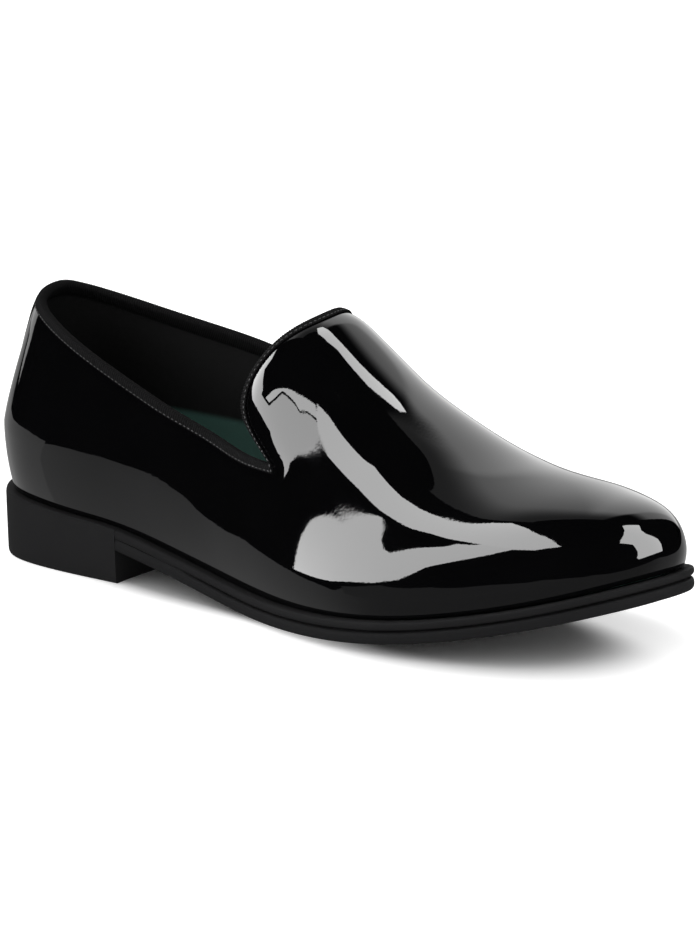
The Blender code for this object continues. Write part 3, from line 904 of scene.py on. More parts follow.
@dataclass(frozen=True)
class Ribbon(Finish):
    """Woven ribbon: its ribs are in the mesh, with painted shade between them and a painted highlight on
    them, and its threads in the surface.
    """

    tones: tuple[float, float] = (0.2, 1.5)
    thread_size: float = 0.25
    thread_layers: float = 2.0
    thread_depth: float = 0.04
    thread_share: tuple[float, float] = (0.7, 0.6)
    # tone between the ribs and tone added on them: painted shade and painted highlight
    rib_shade_share: tuple[float, float] = (0.3, 0.7)
    rib_sheen: float = 0.1

    def surface(self, kit: NodeKit) -> dict[str, Any]:
        """Threads, with a painted highlight on the ribs and painted shade between them.

        Args:
            kit: Adds nodes to the material's tree.

        Returns:
            The shader's inputs by name.
        """
        threads = kit.noise(self.thread_size, self.thread_layers)
        rib = kit.attribute(RIB)
        (groove_shade, crest_highlight), (thread_least, thread_more) = self.rib_shade_share, self.thread_share
        # painted shade between the ribs and a painted highlight on them, times the threads' own uneven tone
        tone = (groove_shade + crest_highlight * rib) * (thread_least + thread_more * threads)
        return {
            "Base Color": self.toned(kit, tone),
            "Roughness": self.roughness - self.rib_sheen * rib,
            "Normal": kit.bump(threads, self.thread_depth),
        }


@dataclass(frozen=True)
class Rubber(Finish):
    """Moulded rubber with a fine matt grain."""

    tones: tuple[float, float] = (0.85, 1.15)
    grain_size: float = 0.45
    grain_layers: float = 3.0
    grain_depth: float = 0.012
    cloud_size: float = 18.0
    cloud_layers: float = 3.0
    bloom: float = 0.12

    def surface(self, kit: NodeKit) -> dict[str, Any]:
        """Grain and faint clouds of bloom.

        Args:
            kit: Adds nodes to the material's tree.

        Returns:
            The shader's inputs by name.
        """
        clouds = kit.noise(self.cloud_size, self.cloud_layers)
        return {
            "Base Color": self.toned(kit, clouds),
            "Roughness": self.roughness + self.bloom * clouds,
            "Normal": kit.bump(kit.noise(self.grain_size, self.grain_layers), self.grain_depth),
        }


@dataclass(frozen=True)
class Grained(Finish):
    """Soft leather with a fine grain."""

    grain_size: float = 0.9
    grain_depth: float = 0.03
    cloud_size: float = 9.0
    cloud_layers: float = 4.0
    dullness: float = 0.1

    def surface(self, kit: NodeKit) -> dict[str, Any]:
        """Grain, with the colour a little uneven.

        Args:
            kit: Adds nodes to the material's tree.

        Returns:
            The shader's inputs by name.
        """
        clouds = kit.noise(self.cloud_size, self.cloud_layers)
        return {
            "Base Color": self.toned(kit, clouds),
            "Roughness": self.roughness + self.dullness * clouds,
            "Normal": kit.bump(kit.cells(self.grain_size), self.grain_depth),
        }


@dataclass(frozen=True)
class TwoToneLining(Grained):
    """Lining that is black along the collar and green from a soft line downwards."""

    low_colour: tuple[float, float, float] = (0.053, 0.126, 0.106)
    line_low: float = 46.5
    line_high: float = 49.5

    def surface(self, kit: NodeKit) -> dict[str, Any]:
        """Grain of the lining with its two colours.

        Args:
            kit: Adds nodes to the material's tree.

        Returns:
            The shader's inputs by name.
        """
        inputs = super().surface(kit)
        share = kit.height().step(self.line_low * MM, self.line_high * MM)
        inputs["Base Color"] = kit.blend(share, self.low_colour, inputs["Base Color"])
        return inputs


class Finishes:
    """The shoe's finishes."""

    PATENT = Patent("patent_film", (0.0014, 0.0014, 0.0016), 0.02, 1.45)
    RIBBON = Ribbon("woven_ribbon", (0.0042, 0.0042, 0.0044), 0.8, specular=0.03)
    THREAD = Grained("seam_thread", (0.018, 0.018, 0.019), 0.45, specular=0.35, grain_size=0.25)
    RUBBER = Rubber("charcoal_rubber", (0.0125, 0.0125, 0.013), 0.6, specular=0.025)
    SOCK = Grained("green_sock_leather", (0.056, 0.134, 0.112), 0.7, specular=0.1)
    LINING = TwoToneLining("two_tone_lining", (0.0022, 0.0022, 0.0024), 0.8, specular=0.1, grain_size=0.7)


# Pieces


def dress(obj: bpy.types.Object, finish: Finish, slot: Slot, *nodes: str) -> bpy.types.Object:
    """Gives a piece its finish and ties it to the part.

    Args:
        obj: The piece.
        finish: Its finish.
        slot: The record's slot; not used.
        nodes: The part's nodes that it stands for.

    Returns:
        The piece.
    """
    material = bpy.data.materials.get(finish.name) or finish.material()
    obj.data.materials.clear()
    obj.data.materials.append(material)
    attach(obj, "root")
    if nodes:
        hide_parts(*nodes)
    LOG.info("%s: %d points, %d faces", obj.name, len(obj.data.vertices), len(obj.data.polygons))
    return obj


@dataclass
class UpperShell:
    """Vamp, tongue and quarters: the patent outside, rolled in at its edge, and the lining inside."""

    last: LoaferLast
    leather: float = 1.1
    lining: float = 0.8
    roll_depth: float = 1.3
    roll_width: float = 10.0
    lining_gap: float = 0.05
    wave_rows: Rows = (
        # height in mm, wave length along the shoe, wave length round it, start along, start round
        (0.02, 34.0, 46.0, 0.4, 1.1),
        (0.01, 19.0, 30.0, 2.0, 0.3),
    )
    wave_axis: float = 10.0
    wave_radius: float = 45.0
    wave_bend: float = 0.6
    wave_bend_length: float = 17.0
    wave_slant: float = 60.0
    wave_fade: float = 14.0
    # columns in a wall and the crown, rows to the toe, to the tongue's edge and round the heel
    fine_grid: tuple[int, ...] = (30, 100, 130, 16, 320)
    lining_grid: tuple[int, ...] = (14, 40, 50, 8, 140)

    def grid(self, wall: int, crown: int, toe: int, tongue: int, quarter: int) -> tuple[Skin, Edge]:
        """The upper's outside as one skin.

        Args:
            wall: Columns in each side wall.
            crown: Columns across the vamp's crown.
            toe: Rows from the tongue's root to the toe.
            tongue: Rows from the tongue's root to its edge.
            quarter: Rows from notch to notch round the heel.

        Returns:
            The skin, and its top edge as pairs of an edge point and the next point into the leather.
        """
        last, skin = self.last, Skin()
        turn = np.sin(np.linspace(0.0, math.pi / 2.0, toe + 1))[:-1]
        rows = [skin.add(last.section(x, wall, crown))
                for x in last.vamp_station + (last.wall.tip - last.vamp_station) * turn]
        for back, front in zip(rows, rows[1:]):
            skin.bridge(front, back)
        tip_x, tip_y = last.wall.points[last.wall.toe]
        tip = skin.add([(tip_x - float(last.lateral_tuck(tip_x)), tip_y, float(last.seat(tip_x)))])[0]
        skin.faces.extend((b, a, tip) for a, b in zip(rows[-1], rows[-1][1:]))
        left, right = wall, wall + crown
        ends = np.full(len(rows[0]), last.notch_station)
        ends[left : right + 1] = last.tongue_edge(np.linspace(-1.0, 1.0, crown + 1))
        ahead, behind = rows[0], rows[0]
        for step in range(1, tongue + 1):
            stations = last.vamp_station + (ends - last.vamp_station) * step / tongue
            row = skin.add([last.section(x, wall, crown)[j] for j, x in enumerate(stations)])
            skin.bridge(ahead, row)
            ahead, behind = row, ahead
        edge = [(ahead[j], behind[j]) for j in range(left + 1, right)]
        start, end = (last.wall.place(last.notch_station, side) for side in (1, -1))
        places = np.linspace(start, end + last.wall.count, quarter + 1)
        first, final = ahead[right:][::-1], ahead[: left + 1]
        ribs = [first] + [skin.add(spread(last.rib(p), wall)) for p in places[1:-1]] + [final]
        for a, b in zip(ribs, ribs[1:]):
            skin.bridge(b, a)
        edge.append((first[-1], behind[right + 1]))
        edge.extend((rib[-1], rib[-2]) for rib in ribs[1:-1])
        edge.append((final[-1], behind[left - 1]))
        return skin, edge

    def roll(self, distance: Any) -> np.ndarray:
        """How far the leather is drawn in at a distance from its edge."""
        return self.roll_depth * np.clip(1.0 - np.asarray(distance) / self.roll_width, 0.0, 1.0) ** 2

    def waves(self, points: np.ndarray) -> np.ndarray:
        """Soft unevenness of the leather over the last, none at the feather line.

        Args:
            points: Points of the skin.

        Returns:
            How far each point is moved outwards.
        """
        x, y, z = points.T
        around = np.arctan2(z - self.wave_axis, y) * self.wave_radius
        bend = self.wave_bend * np.sin(around / self.wave_bend_length)
        total = np.zeros(len(points))
        for height, along_length, round_length, along_start, round_start in self.wave_rows:
            along = np.sin(2.0 * math.pi * x / along_length + along_start + bend)
            turn = 2.0 * math.pi * around / round_length + round_start + x / self.wave_slant
            total += height * along * np.sin(turn)
        return total * smooth_step((z - self.last.seat(x)) / self.wave_fade)

    def shaped(self, skin: Skin, edge: Edge, inset: float) -> Skin:
        """The skin rolled in at its edge, with its waves, and moved in by an inset.

        Args:
            skin: The plain skin.
            edge: Its top edge.
            inset: Distance inwards in millimetres.

        Returns:
            A new skin with the same faces.
        """
        points, normals = skin.array(), skin.normals()
        tree = KDTree(len(edge))
        for i, (at, _) in enumerate(edge):
            tree.insert(points[at], i)
        tree.balance()
        distance = np.array([tree.find(p)[2] for p in points])
        move = self.waves(points) - self.roll(distance) - inset
        return Skin((points + normals * move[:, None]).tolist(), skin.faces)

    def build(self, origin: np.ndarray) -> tuple[Skin, Edge]:
        """Builds the patent outside and the lining.

        Args:
            origin: The part's origin in the last's frame.

        Returns:
            The plain fine skin and its edge, for what is laid on it.
        """
        skin, edge = self.grid(*self.fine_grid)
        outside = self.shaped(skin, edge, 0.0).to_object("upper_patent", origin, closed=False)
        thicken(outside, self.leather, -1.0)
        dress(outside, Finishes.PATENT, Slot.PATENT, "upper")
        inner = self.shaped(*self.grid(*self.lining_grid), self.leather + self.lining_gap)
        inside = inner.to_object("upper_lining", origin, closed=False)
        thicken(inside, self.lining, -1.0)
        dress(inside, Finishes.LINING, Slot.SOCK)
        return skin, edge


@dataclass
class SeamStitches:
    """Short stitches of thread along the ribbon's edge and the heel strip's sides."""

    pitch: float = 2.0
    length: float = 1.25
    width: float = 0.45
    rise: float = 0.34
    along_places: tuple[float, ...] = (-0.9, -0.5, 0.0, 0.5, 0.9)
    sides: int = 8
    sharp: float = 80.0

    def build(self, seats: np.ndarray, origin: np.ndarray) -> None:
        """Builds all stitches as one piece.

        Args:
            seats: For each stitch its point, its direction and the outward normal.
            origin: The part's origin in the last's frame.
        """
        skin = Skin()
        turns = np.linspace(0.0, 2.0 * math.pi, self.sides, endpoint=False)
        for point, along, normal in seats:
            aside = np.cross(normal, along)
            rings = []
            for place in self.along_places:
                reach = math.sqrt(1.0 - place * place)
                middle = point + along * (place * self.length / 2.0)
                across, above = aside * (self.width / 2.0 * reach), normal * (self.rise / 2.0 * reach)
                rings.append(skin.add([middle + across * math.cos(t) + above * math.sin(t) for t in turns]))
            for a, b in zip(rings, rings[1:]):
                skin.bridge(a, b, closed=True)
            skin.faces.extend((tuple(rings[0]), tuple(rings[-1])))
        dress(skin.to_object("seam_stitches", origin, sharp=self.sharp), Finishes.THREAD, Slot.RIBBON)


def stitch_seats(line: np.ndarray, normals: np.ndarray, pitch: float) -> np.ndarray:
    """Places of stitches along a line.

    Args:
        line: Points of the line in millimetres.
        normals: Outward normals at the points.
        pitch: Distance from stitch to stitch.

    Returns:
        For each stitch its point, its direction and the outward normal.
    """
    run = run_along(line)
    rows = np.concatenate([line, np.gradient(line, axis=0), normals], axis=1)
    seats = read_rows(np.arange(pitch / 2.0, run[-1], pitch), run, rows).reshape(-1, 3, 3)
    seats[:, 1:] /= np.linalg.norm(seats[:, 1:], axis=2, keepdims=True)
    return seats


def rib_height_share(step: int, steps_per_rib: int) -> float:
    """How far up a rib a step along a ribbon lies, from 0 between two ribs to 1 on top of one."""
    return 0.5 + 0.5 * math.cos(2.0 * math.pi * (step % steps_per_rib) / steps_per_rib)


def keep_ribs(obj: bpy.types.Object, ribs: Sequence[float]) -> None:
    """Keeps each point's place up its rib on a ribbon's mesh, for the finish."""
    attribute = obj.data.attributes.new(RIB, "FLOAT", "POINT")
    attribute.data.foreach_set("value", np.array(ribs, np.float32))


@dataclass
class CollarRibbon:
    """Ribbed ribbon folded over the collar and the tongue's edge."""

    upper: UpperShell
    rib_pitch: float = 1.0
    rib_height: float = 0.24
    steps_per_rib: int = 5
    lift: float = 0.12
    profile: Rows = (
        # depth into the leather from its edge, height over the leather's outside
        (2.0, 0.0), (2.1, 0.35), (1.75, 0.6), (1.1, 0.7), (0.2, 0.7), (-0.55, 0.55), (-0.9, 0.05),
        (-1.0, -0.7), (-0.95, -1.5), (-0.7, -2.2), (-0.2, -2.65), (0.8, -2.8), (2.5, -2.8), (4.3, -2.75),
        (4.5, -2.5), (4.4, -2.1), (0.0, -2.05), (-0.2, -1.9), (-0.3, -0.9), (-0.2, -0.1), (0.1, 0.0),
    )
    ribbed: int = 15
    smoothing: int = 6
    stitch_depth: float = 1.6
    stitch_height: float = 0.72

    def frames(self, skin: Skin, edge: Edge) -> np.ndarray:
        """Point, direction into the leather and outward normal at even steps along the edge.

        Args:
            skin: The upper's plain skin.
            edge: Its top edge.

        Returns:
            An array of steps by three vectors.
        """
        points, normals = skin.array(), skin.normals()
        at, inward = np.array(edge).T
        into = points[inward] - points[at]
        into -= normals[at] * np.sum(into * normals[at], axis=1)[:, None]
        into /= np.linalg.norm(into, axis=1)[:, None]
        rows = np.stack([points[at], into, normals[at]], axis=1)
        closed = np.concatenate([rows, rows[:1]])
        run = run_along(closed[:, 0])
        count = int(round(run[-1] / self.rib_pitch)) * self.steps_per_rib
        want = np.linspace(0.0, run[-1], count, endpoint=False)
        even = read_rows(want, run, closed.reshape(len(run), -1)).reshape(-1, 3, 3)
        directions = even[:, 1:]
        for _ in range(self.smoothing):
            before, after = np.roll(directions, 1, axis=0), np.roll(directions, -1, axis=0)
            directions = (before + 2.0 * directions + after) / 4.0
        even[:, 1:] = directions / np.linalg.norm(directions, axis=2, keepdims=True)
        return even

    def build(self, skin: Skin, edge: Edge, origin: np.ndarray) -> np.ndarray:
        """Builds the ribbon as one closed band with its ribs across it.

        Args:
            skin: The upper's plain skin.
            edge: Its top edge.
            origin: The part's origin in the last's frame.

        Returns:
            Places of the stitches along its outer edge.
        """
        profile = np.array(self.profile)
        middle = profile.mean(axis=0)
        outwards = np.roll(profile, -1, axis=0) - np.roll(profile, 1, axis=0)
        outwards = np.c_[-outwards[:, 1], outwards[:, 0]]
        outwards /= np.linalg.norm(outwards, axis=1)[:, None]
        if np.sum((profile - middle) * outwards) < 0.0:
            outwards = -outwards
        ribbed = np.arange(len(profile)) < self.ribbed
        band, ribs, rows = Skin(), [], []
        frames = self.frames(skin, edge)
        for step, (point, into, normal) in enumerate(frames):
            rib = rib_height_share(step, self.steps_per_rib)
            shape = profile + outwards * (ribbed * self.rib_height * rib)[:, None]
            height = shape[:, 1] + self.lift - self.upper.roll(np.maximum(shape[:, 0], 0.0))
            rows.append(band.add(point + shape[:, :1] * into + height[:, None] * normal))
            ribs.extend([rib] * len(profile))
        for a, b in zip(rows, rows[1:] + rows[:1]):
            band.bridge(a, b, closed=True)
        obj = band.to_object("collar_ribbon", origin)
        keep_ribs(obj, ribs)
        dress(obj, Finishes.RIBBON, Slot.RIBBON, "topline_binding")
        height = self.stitch_height + self.lift - float(self.upper.roll(self.stitch_depth))
        line = frames[:, 0] + self.stitch_depth * frames[:, 1] + height * frames[:, 2]
        return stitch_seats(line, frames[:, 2], SeamStitches.pitch)


@dataclass
class BackStay:
    """Ribbed strip of one width up the back of the heel, its edges turned down onto the quarters."""

    upper: UpperShell
    half: float = 12.8
    thickness: float = 1.15
    under: float = 0.4
    edge_round: float = 0.9
    top_gap: float = 2.2
    rib_height: float = 0.15
    steps_per_rib: int = 4
    ribs: int = 72
    columns: int = 48
    stitch_inset: float = 2.4
    reach: float = 40.0
    lines: int = 60

    def __post_init__(self) -> None:
        """Takes the last's lines round the heel that the strip is laid on."""
        wall = self.upper.last.wall
        step = float(np.linalg.norm(np.diff(wall.points[:2], axis=0)))
        places = wall.back + np.linspace(-self.reach, self.reach, self.lines + 1) / step
        self.ground = [self.upper.last.rib(place) for place in places]
        self.outwards = np.array([(*wall.at(place)[1], 0.0) for place in places])

    def row(self, share: float, places: np.ndarray) -> tuple[np.ndarray, np.ndarray]:
        """Points of the rolled leather under the strip, and the outward directions there.

        Args:
            share: Place up the strip, 0 at the feather line and 1 at its top.
            places: Places across it in millimetres from its middle.

        Returns:
            The points and the directions.
        """
        points = []
        for line, outwards in zip(self.ground, self.outwards):
            z = line[0, 2] + share * (line[-1, 2] - self.top_gap - line[0, 2])
            point = read_rows(z, line[:, 2], line)
            points.append(point - outwards * self.upper.roll(line[-1, 2] - z))
        run = run_along(points)
        run -= run[self.lines // 2]
        found = read_rows(places, run, np.c_[np.array(points), self.outwards])
        return found[:, :3], found[:, 3:]

    def build(self, origin: np.ndarray) -> np.ndarray:
        """Builds the strip on the last's own lines.

        Args:
            origin: The part's origin in the last's frame.

        Returns:
            Places of the stitches along its sides.
        """
        strip, ribs, rows, backs = Skin(), [], [], []
        shares = np.linspace(0.0, 1.0, self.ribs * self.steps_per_rib + 1)
        places = np.linspace(-self.half, self.half, self.columns + 1)
        inside = np.clip((self.half - np.abs(places)) / self.edge_round, 0.0, 1.0)
        rounded = np.sqrt(1.0 - (1.0 - inside) ** 2)[:, None]
        for k, share in enumerate(shares):
            rib = rib_height_share(k, self.steps_per_rib)
            points, outwards = self.row(share, places)
            rows.append(strip.add(points + outwards * rounded * (self.thickness + self.rib_height * rib)))
            backs.append(strip.add(points - outwards * self.under))
            ribs.extend([rib] * (2 * len(places)))
        for a, b in zip(rows, rows[1:]):
            strip.bridge(a, b)
        for a, b in zip(backs, backs[1:]):
            strip.bridge(b, a)
        strip.bridge(backs[0], rows[0])
        strip.bridge(rows[-1], backs[-1])
        strip.bridge([r[0] for r in rows], [t[0] for t in backs])
        strip.bridge([t[-1] for t in backs], [r[-1] for r in rows])
        obj = strip.to_object("heel_stay", origin)
        keep_ribs(obj, ribs)
        dress(obj, Finishes.RIBBON, Slot.RIBBON, "back_stay")
        return np.concatenate([self.stitches(side, shares) for side in (-1.0, 1.0)])

    def stitches(self, side: float, shares: np.ndarray) -> np.ndarray:
        """Places of the stitches inside one side of the strip.

        Args:
            side: -1 or +1, the side.
            shares: Places up the strip.

        Returns:
            For each stitch its point, its direction and the outward normal.
        """
        place = np.array([side * (self.half - self.stitch_inset)])
        found = [self.row(share, place) for share in shares]
        normals = np.concatenate([outwards for _, outwards in found])
        line = np.concatenate([points for points, _ in found]) + normals * (self.thickness + self.rib_height)
        return stitch_seats(line, normals, SeamStitches.pitch)


@dataclass
class SoleUnit:
    """Rubber sole: the plate with its lower rib, the welt's bead over a groove, and the heel."""

    last: LoaferLast
    outsole_rows: Rows = (
        # inset from the outline, share of the groove, height over the lower edge
        (1.6, 0.0, -0.05), (0.6, 0.0, 0.0), (0.1, 0.0, 0.7), (0.0, 0.0, 2.0), (0.1, 0.05, 3.2),
        (0.3, 0.3, 4.0), (0.3, 1.0, 4.3), (0.3, 1.0, 4.5), (7.0, 0.0, 4.5),
    )
    welt_rows: Rows = (
        # inset from the outline, share of the groove, height over the lower edge
        (6.7, 0.0, 4.5), (0.3, 1.0, 4.5), (0.3, 0.9, 4.7), (0.3, 0.2, 4.9), (0.1, 0.0, 5.4), (0.0, 0.0, 6.2),
        (0.15, 0.0, 7.0), (0.6, 0.0, 7.6), (1.4, 0.0, 7.8), (2.4, 0.0, 7.8), (6.7, 0.0, 7.8),
    )
    heel_rows: Rows = (
        # inset from the outline, share of the seat's height, step above it
        (2.6, 0.0, 0.0), (0.6, 0.0, 0.0), (0.1, 0.0, 0.6), (0.0, 0.0, 2.4), (0.0, 1.0, -3.4),
        (0.05, 1.0, -1.2), (0.5, 1.0, -0.1), (1.6, 1.0, 0.0), (3.0, 1.0, 0.0),
    )
    soften: int = 2
    tread_inset: float = 16.0
    tread_rings: tuple[float, ...] = (1.0, 0.6, 0.3)
    tread_foot: float = 1.3
    tread_step: float = 0.05
    groove_depth: float = 1.4
    groove_start: float = 102.0
    groove_full: float = 128.0
    gap: float = 0.15
    tread_groove: float = 0.8
    tread_steps: int = 6
    tread_cut: int = 2
    plate_stations: int = 220
    heel_stations: int = 110
    breast_stations: int = 40
    breast_steps: int = 5

    def groove(self, x: Any) -> np.ndarray:
        """Depth of the groove between plate and welt along the shoe."""
        share = (x - self.groove_start) / (self.groove_full - self.groove_start)
        return self.groove_depth * smooth_step(share)

    def places(self, side: int, stations: int) -> np.ndarray:
        """Places from one side's breast round the toe, or round the heel, to the other side's breast.

        Args:
            side: -1 to go round the toe and +1 to go round the heel.
            stations: Steps in each half.

        Returns:
            Places along the sole's outline.
        """
        sole, length = self.last.sole, self.last.heel_length
        a, b = sole.place(length, side), sole.place(length, -side)
        middle = sole.toe if side < 0 else sole.back
        if b < a:
            b += sole.count
        if middle < a:
            middle += sole.count
        return np.r_[np.linspace(a, middle, stations, endpoint=False), np.linspace(middle, b, stations + 1)]

    def inset_row(self, places: np.ndarray, insets: np.ndarray, front: float) -> list[np.ndarray]:
        """Points inside the sole's outline at places along it, with the two ends on the breast's line.

        Args:
            places: Places along the outline.
            insets: Distance inside the outline at each place.
            front: How far the ends lie ahead of the breast's line.

        Returns:
            The points, seen from above.
        """
        row = []
        for k, (place, inset) in enumerate(zip(places, insets)):
            point, normal = self.last.sole.at(place)
            point = point - normal * inset
            if k in (0, len(places) - 1):
                point[0] = self.last.breast_line(point[1]) + front
            row.append(point)
        return row

    def breast_row(self, start: np.ndarray, end: np.ndarray, front: float) -> list[np.ndarray]:
        """Points along the breast's line between two points, without them."""
        ys = np.linspace(start[1], end[1], self.breast_stations + 1)[1:-1]
        return [np.array([self.last.breast_line(y) + front, y]) for y in ys]

    def cut_tread(self, skin: Skin, ring: list[int], count: int, first: int = 1) -> None:
        """Lifts steps of a ring, from a first one on, so that its cap has grooves across the shoe.

        Args:
            skin: The piece's skin.
            ring: The ring's points, the breast's last.
            count: Number of its side points.
            first: First side point from the breast that may be lifted.
        """
        for k in range(first, count - first):
            if min(k, count - 1 - k) % self.tread_steps < self.tread_cut:
                x, y, z = skin.points[ring[k]]
                skin.points[ring[k]] = (x, y, z + self.tread_groove)

    def cap(self, skin: Skin, ring: list[int], count: int, plain: int = 1) -> None:
        """Closes a ring of side points and breast points with strips across the shoe.

        Args:
            skin: The piece's skin.
            ring: The ring's points, the breast's last.
            count: Number of its side points.
            plain: Side steps in the one face along the breast, enough to pass its hollow.
        """
        half = count // 2
        skin.faces.append((*ring[: plain + 1], *ring[count - 1 - plain :]))
        for k in range(plain, half - 1):
            skin.faces.append((ring[k], ring[k + 1], ring[count - 2 - k], ring[count - 1 - k]))
        skin.faces.append((ring[half - 1], ring[half], ring[half + 1]))

    def build_plate(self, origin: np.ndarray) -> None:
        """Builds the sole plate ahead of the heel.

        Args:
            origin: The part's origin in the last's frame.
        """
        last, skin = self.last, Skin()
        places = self.places(-1, self.plate_stations)
        count = len(places)
        stations = np.array([last.sole.at(p)[0][0] for p in places])
        rings = []
        for inset in (self.tread_inset * part for part in self.tread_rings):
            row = self.inset_row(places, np.full(count, inset), self.gap)
            row += self.breast_row(row[-1], row[0], self.gap)
            share = smooth_step((self.tread_inset - inset) / (self.tread_inset - self.tread_foot))
            rings.append(skin.add([
                (x, y, mix(last.tread(x), last.lower_edge(x) - self.tread_step, share)) for x, y in row
            ]))
        for inset, groove_share, height in cut_corners(self.outsole_rows, self.soften):
            row = self.inset_row(places, inset + groove_share * self.groove(stations), self.gap)
            row += self.breast_row(row[-1], row[0], self.gap)
            rings.append(skin.add([(x, y, last.lower_edge(x) + height) for x, y in row]))
        for a, b in zip(rings, rings[1:]):
            skin.bridge(a, b, closed=True)
        self.cut_tread(skin, rings[0], count)
        self.cap(skin, rings[0], count)
        self.cap(skin, rings[-1], count)
        dress(skin.to_object("sole_plate", origin), Finishes.RUBBER, Slot.RUBBER, "outsole")

    def build_welt(self, origin: np.ndarray) -> None:
        """Builds the welt's bead from breast to breast round the toe.

        Args:
            origin: The part's origin in the last's frame.
        """
        last, skin = self.last, Skin()
        places = self.places(-1, self.plate_stations)
        stations = np.array([last.sole.at(p)[0][0] for p in places])
        lines = []
        for inset, groove_share, height in cut_corners(self.welt_rows, self.soften):
            row = self.inset_row(places, inset + groove_share * self.groove(stations), self.gap)
            drop = height - last.sole_edge
            lines.append([(x, y, last.feather(x) + drop) for x, y in row])
        loops = [skin.add(loop) for loop in zip(*lines)]
        for a, b in zip(loops, loops[1:]):
            skin.bridge(a, b, closed=True)
        skin.faces.append(tuple(loops[0]))
        skin.faces.append(tuple(loops[-1]))
        dress(skin.to_object("welt_bead", origin), Finishes.RUBBER, Slot.RUBBER, "welt")

    def build_heel(self, origin: np.ndarray) -> None:
        """Builds the heel block with its hollow breast.

        Args:
            origin: The part's origin in the last's frame.
        """
        last, skin = self.last, Skin()
        places = self.places(1, self.heel_stations)
        count = len(places)
        rings = []
        for inset, share, step in cut_corners(self.heel_rows, self.soften):
            row = self.inset_row(places, np.full(count, inset), 0.0)
            row += self.breast_row(row[-1], row[0], 0.0)
            rings.append(skin.add([(x, y, share * last.feather(x) + step) for x, y in row]))
        for a, b in zip(rings, rings[1:]):
            skin.bridge(a, b, closed=True)
        self.cut_tread(skin, rings[0], count, self.breast_steps + 1)
        self.cap(skin, rings[0], count, self.breast_steps)
        self.cap(skin, rings[-1], count, self.breast_steps)
        dress(skin.to_object("heel_block", origin), Finishes.RUBBER, Slot.RUBBER, "heel")


@dataclass
class SockInsole:
    """Green sock on the footbed, with its upper edge rounded."""

    last: LoaferLast
    thickness: float = 3.0
    clearance: float = 2.6
    edge_round: float = 1.2
    edge_steps: int = 5
    stations: int = 120

    def build(self, origin: np.ndarray) -> None:
        """Builds the sock inside the upper's wall.

        Args:
            origin: The part's origin in the last's frame.
        """
        wall, skin = self.last.wall, Skin()
        x = wall.points[:, 0]
        tuck = mix(self.last.lateral_tuck(x), self.last.medial_tuck(x), wall.medial_share())
        places = np.r_[np.linspace(wall.back, wall.toe, self.stations, endpoint=False),
                       np.linspace(wall.toe, wall.back + wall.count, self.stations, endpoint=False)]
        profile = [(0.0, 0.0), (0.0, self.thickness - self.edge_round)]
        for turn in np.linspace(0.0, math.pi / 2.0, self.edge_steps + 1)[1:]:
            profile.append((self.edge_round * (1.0 - math.cos(turn)),
                            self.thickness - self.edge_round * (1.0 - math.sin(turn))))
        loops = []
        for inset, height in profile:
            loop = []
            for place in places:
                point, normal = wall.at(place)
                point = point - normal * (tuck[int(place) % wall.count] + self.clearance + inset)
                loop.append((*point, float(self.last.seat(point[0])) + height))
            loops.append(skin.add(loop))
        for a, b in zip(loops, loops[1:]):
            skin.bridge(a, b, closed=True)
        for ring in (loops[0], loops[-1]):
            count = len(ring)
            skin.faces.append((ring[0], ring[1], ring[-1]))
            for k in range(1, count // 2 - 1):
                skin.faces.append((ring[k], ring[k + 1], ring[count - 1 - k], ring[count - k]))
            skin.faces.append((ring[count // 2 - 1], ring[count // 2], ring[count // 2 + 1]))
        dress(skin.to_object("green_sock", origin), Finishes.SOCK, Slot.SOCK, "insole")


# Studio


def facing(azimuth: float, elevation: float) -> tuple[Vector, Vector, Vector]:
    """Directions of something that hangs round the shoe and faces it.

    Args:
        azimuth: Degrees from the toe's direction towards the medial side.
        elevation: Degrees over the floor.

    Returns:
        Its sideways and upward directions, and the direction to it from the shoe.
    """
    a, e = math.radians(azimuth), math.radians(elevation)
    outwards = Vector((math.cos(a) * math.cos(e), math.sin(a) * math.cos(e), math.sin(e)))
    side = Vector((-math.sin(a), math.cos(a), 0.0))
    return side, outwards.cross(side), outwards


def glowing(name: str, glow: float | Callable[[NodeKit], Wire], colour: float = 0.0) -> bpy.types.Material:
    """Matt material that gives off light.

    Args:
        name: The material's name.
        glow: Its brightness, or what makes an uneven one in the material's tree.
        colour: Grey of its surface.

    Returns:
        The material.
    """
    material, kit, shader = new_material(name)
    tint, strength = WHITE, glow
    if callable(glow):
        value = glow(kit)
        tint, strength = kit.wire("ShaderNodeCombineColor", {}, {0: value, 1: value, 2: value}), 1.0
    kit.feed(shader, {
        "Base Color": (colour, colour, colour, 1.0),
        "Roughness": 1.0,
        "Specular IOR Level": 0.0,
        "Emission Color": tint,
        "Emission Strength": strength,
    })
    return material


def stage_sheet(name: str, points: Sequence[Sequence[float]], faces: Sequence[Sequence[int]],
                material: bpy.types.Material) -> bpy.types.Object:
    """Puts a sheet of the studio into the scene.

    Args:
        name: The sheet's name.
        points: Its points in metres.
        faces: Its faces.
        material: Its material.

    Returns:
        The sheet.
    """
    mesh = bpy.data.meshes.new(name)
    mesh.from_pydata([tuple(p) for p in points], [], [tuple(f) for f in faces])
    mesh.materials.append(material)
    obj = bpy.data.objects.new(name, mesh)
    bpy.context.scene.collection.objects.link(obj)
    return obj


def mirror_only(obj: bpy.types.Object) -> None:
    """Lets a sheet show as a reflection alone."""
    obj.visible_camera = obj.visible_diffuse = obj.visible_shadow = False


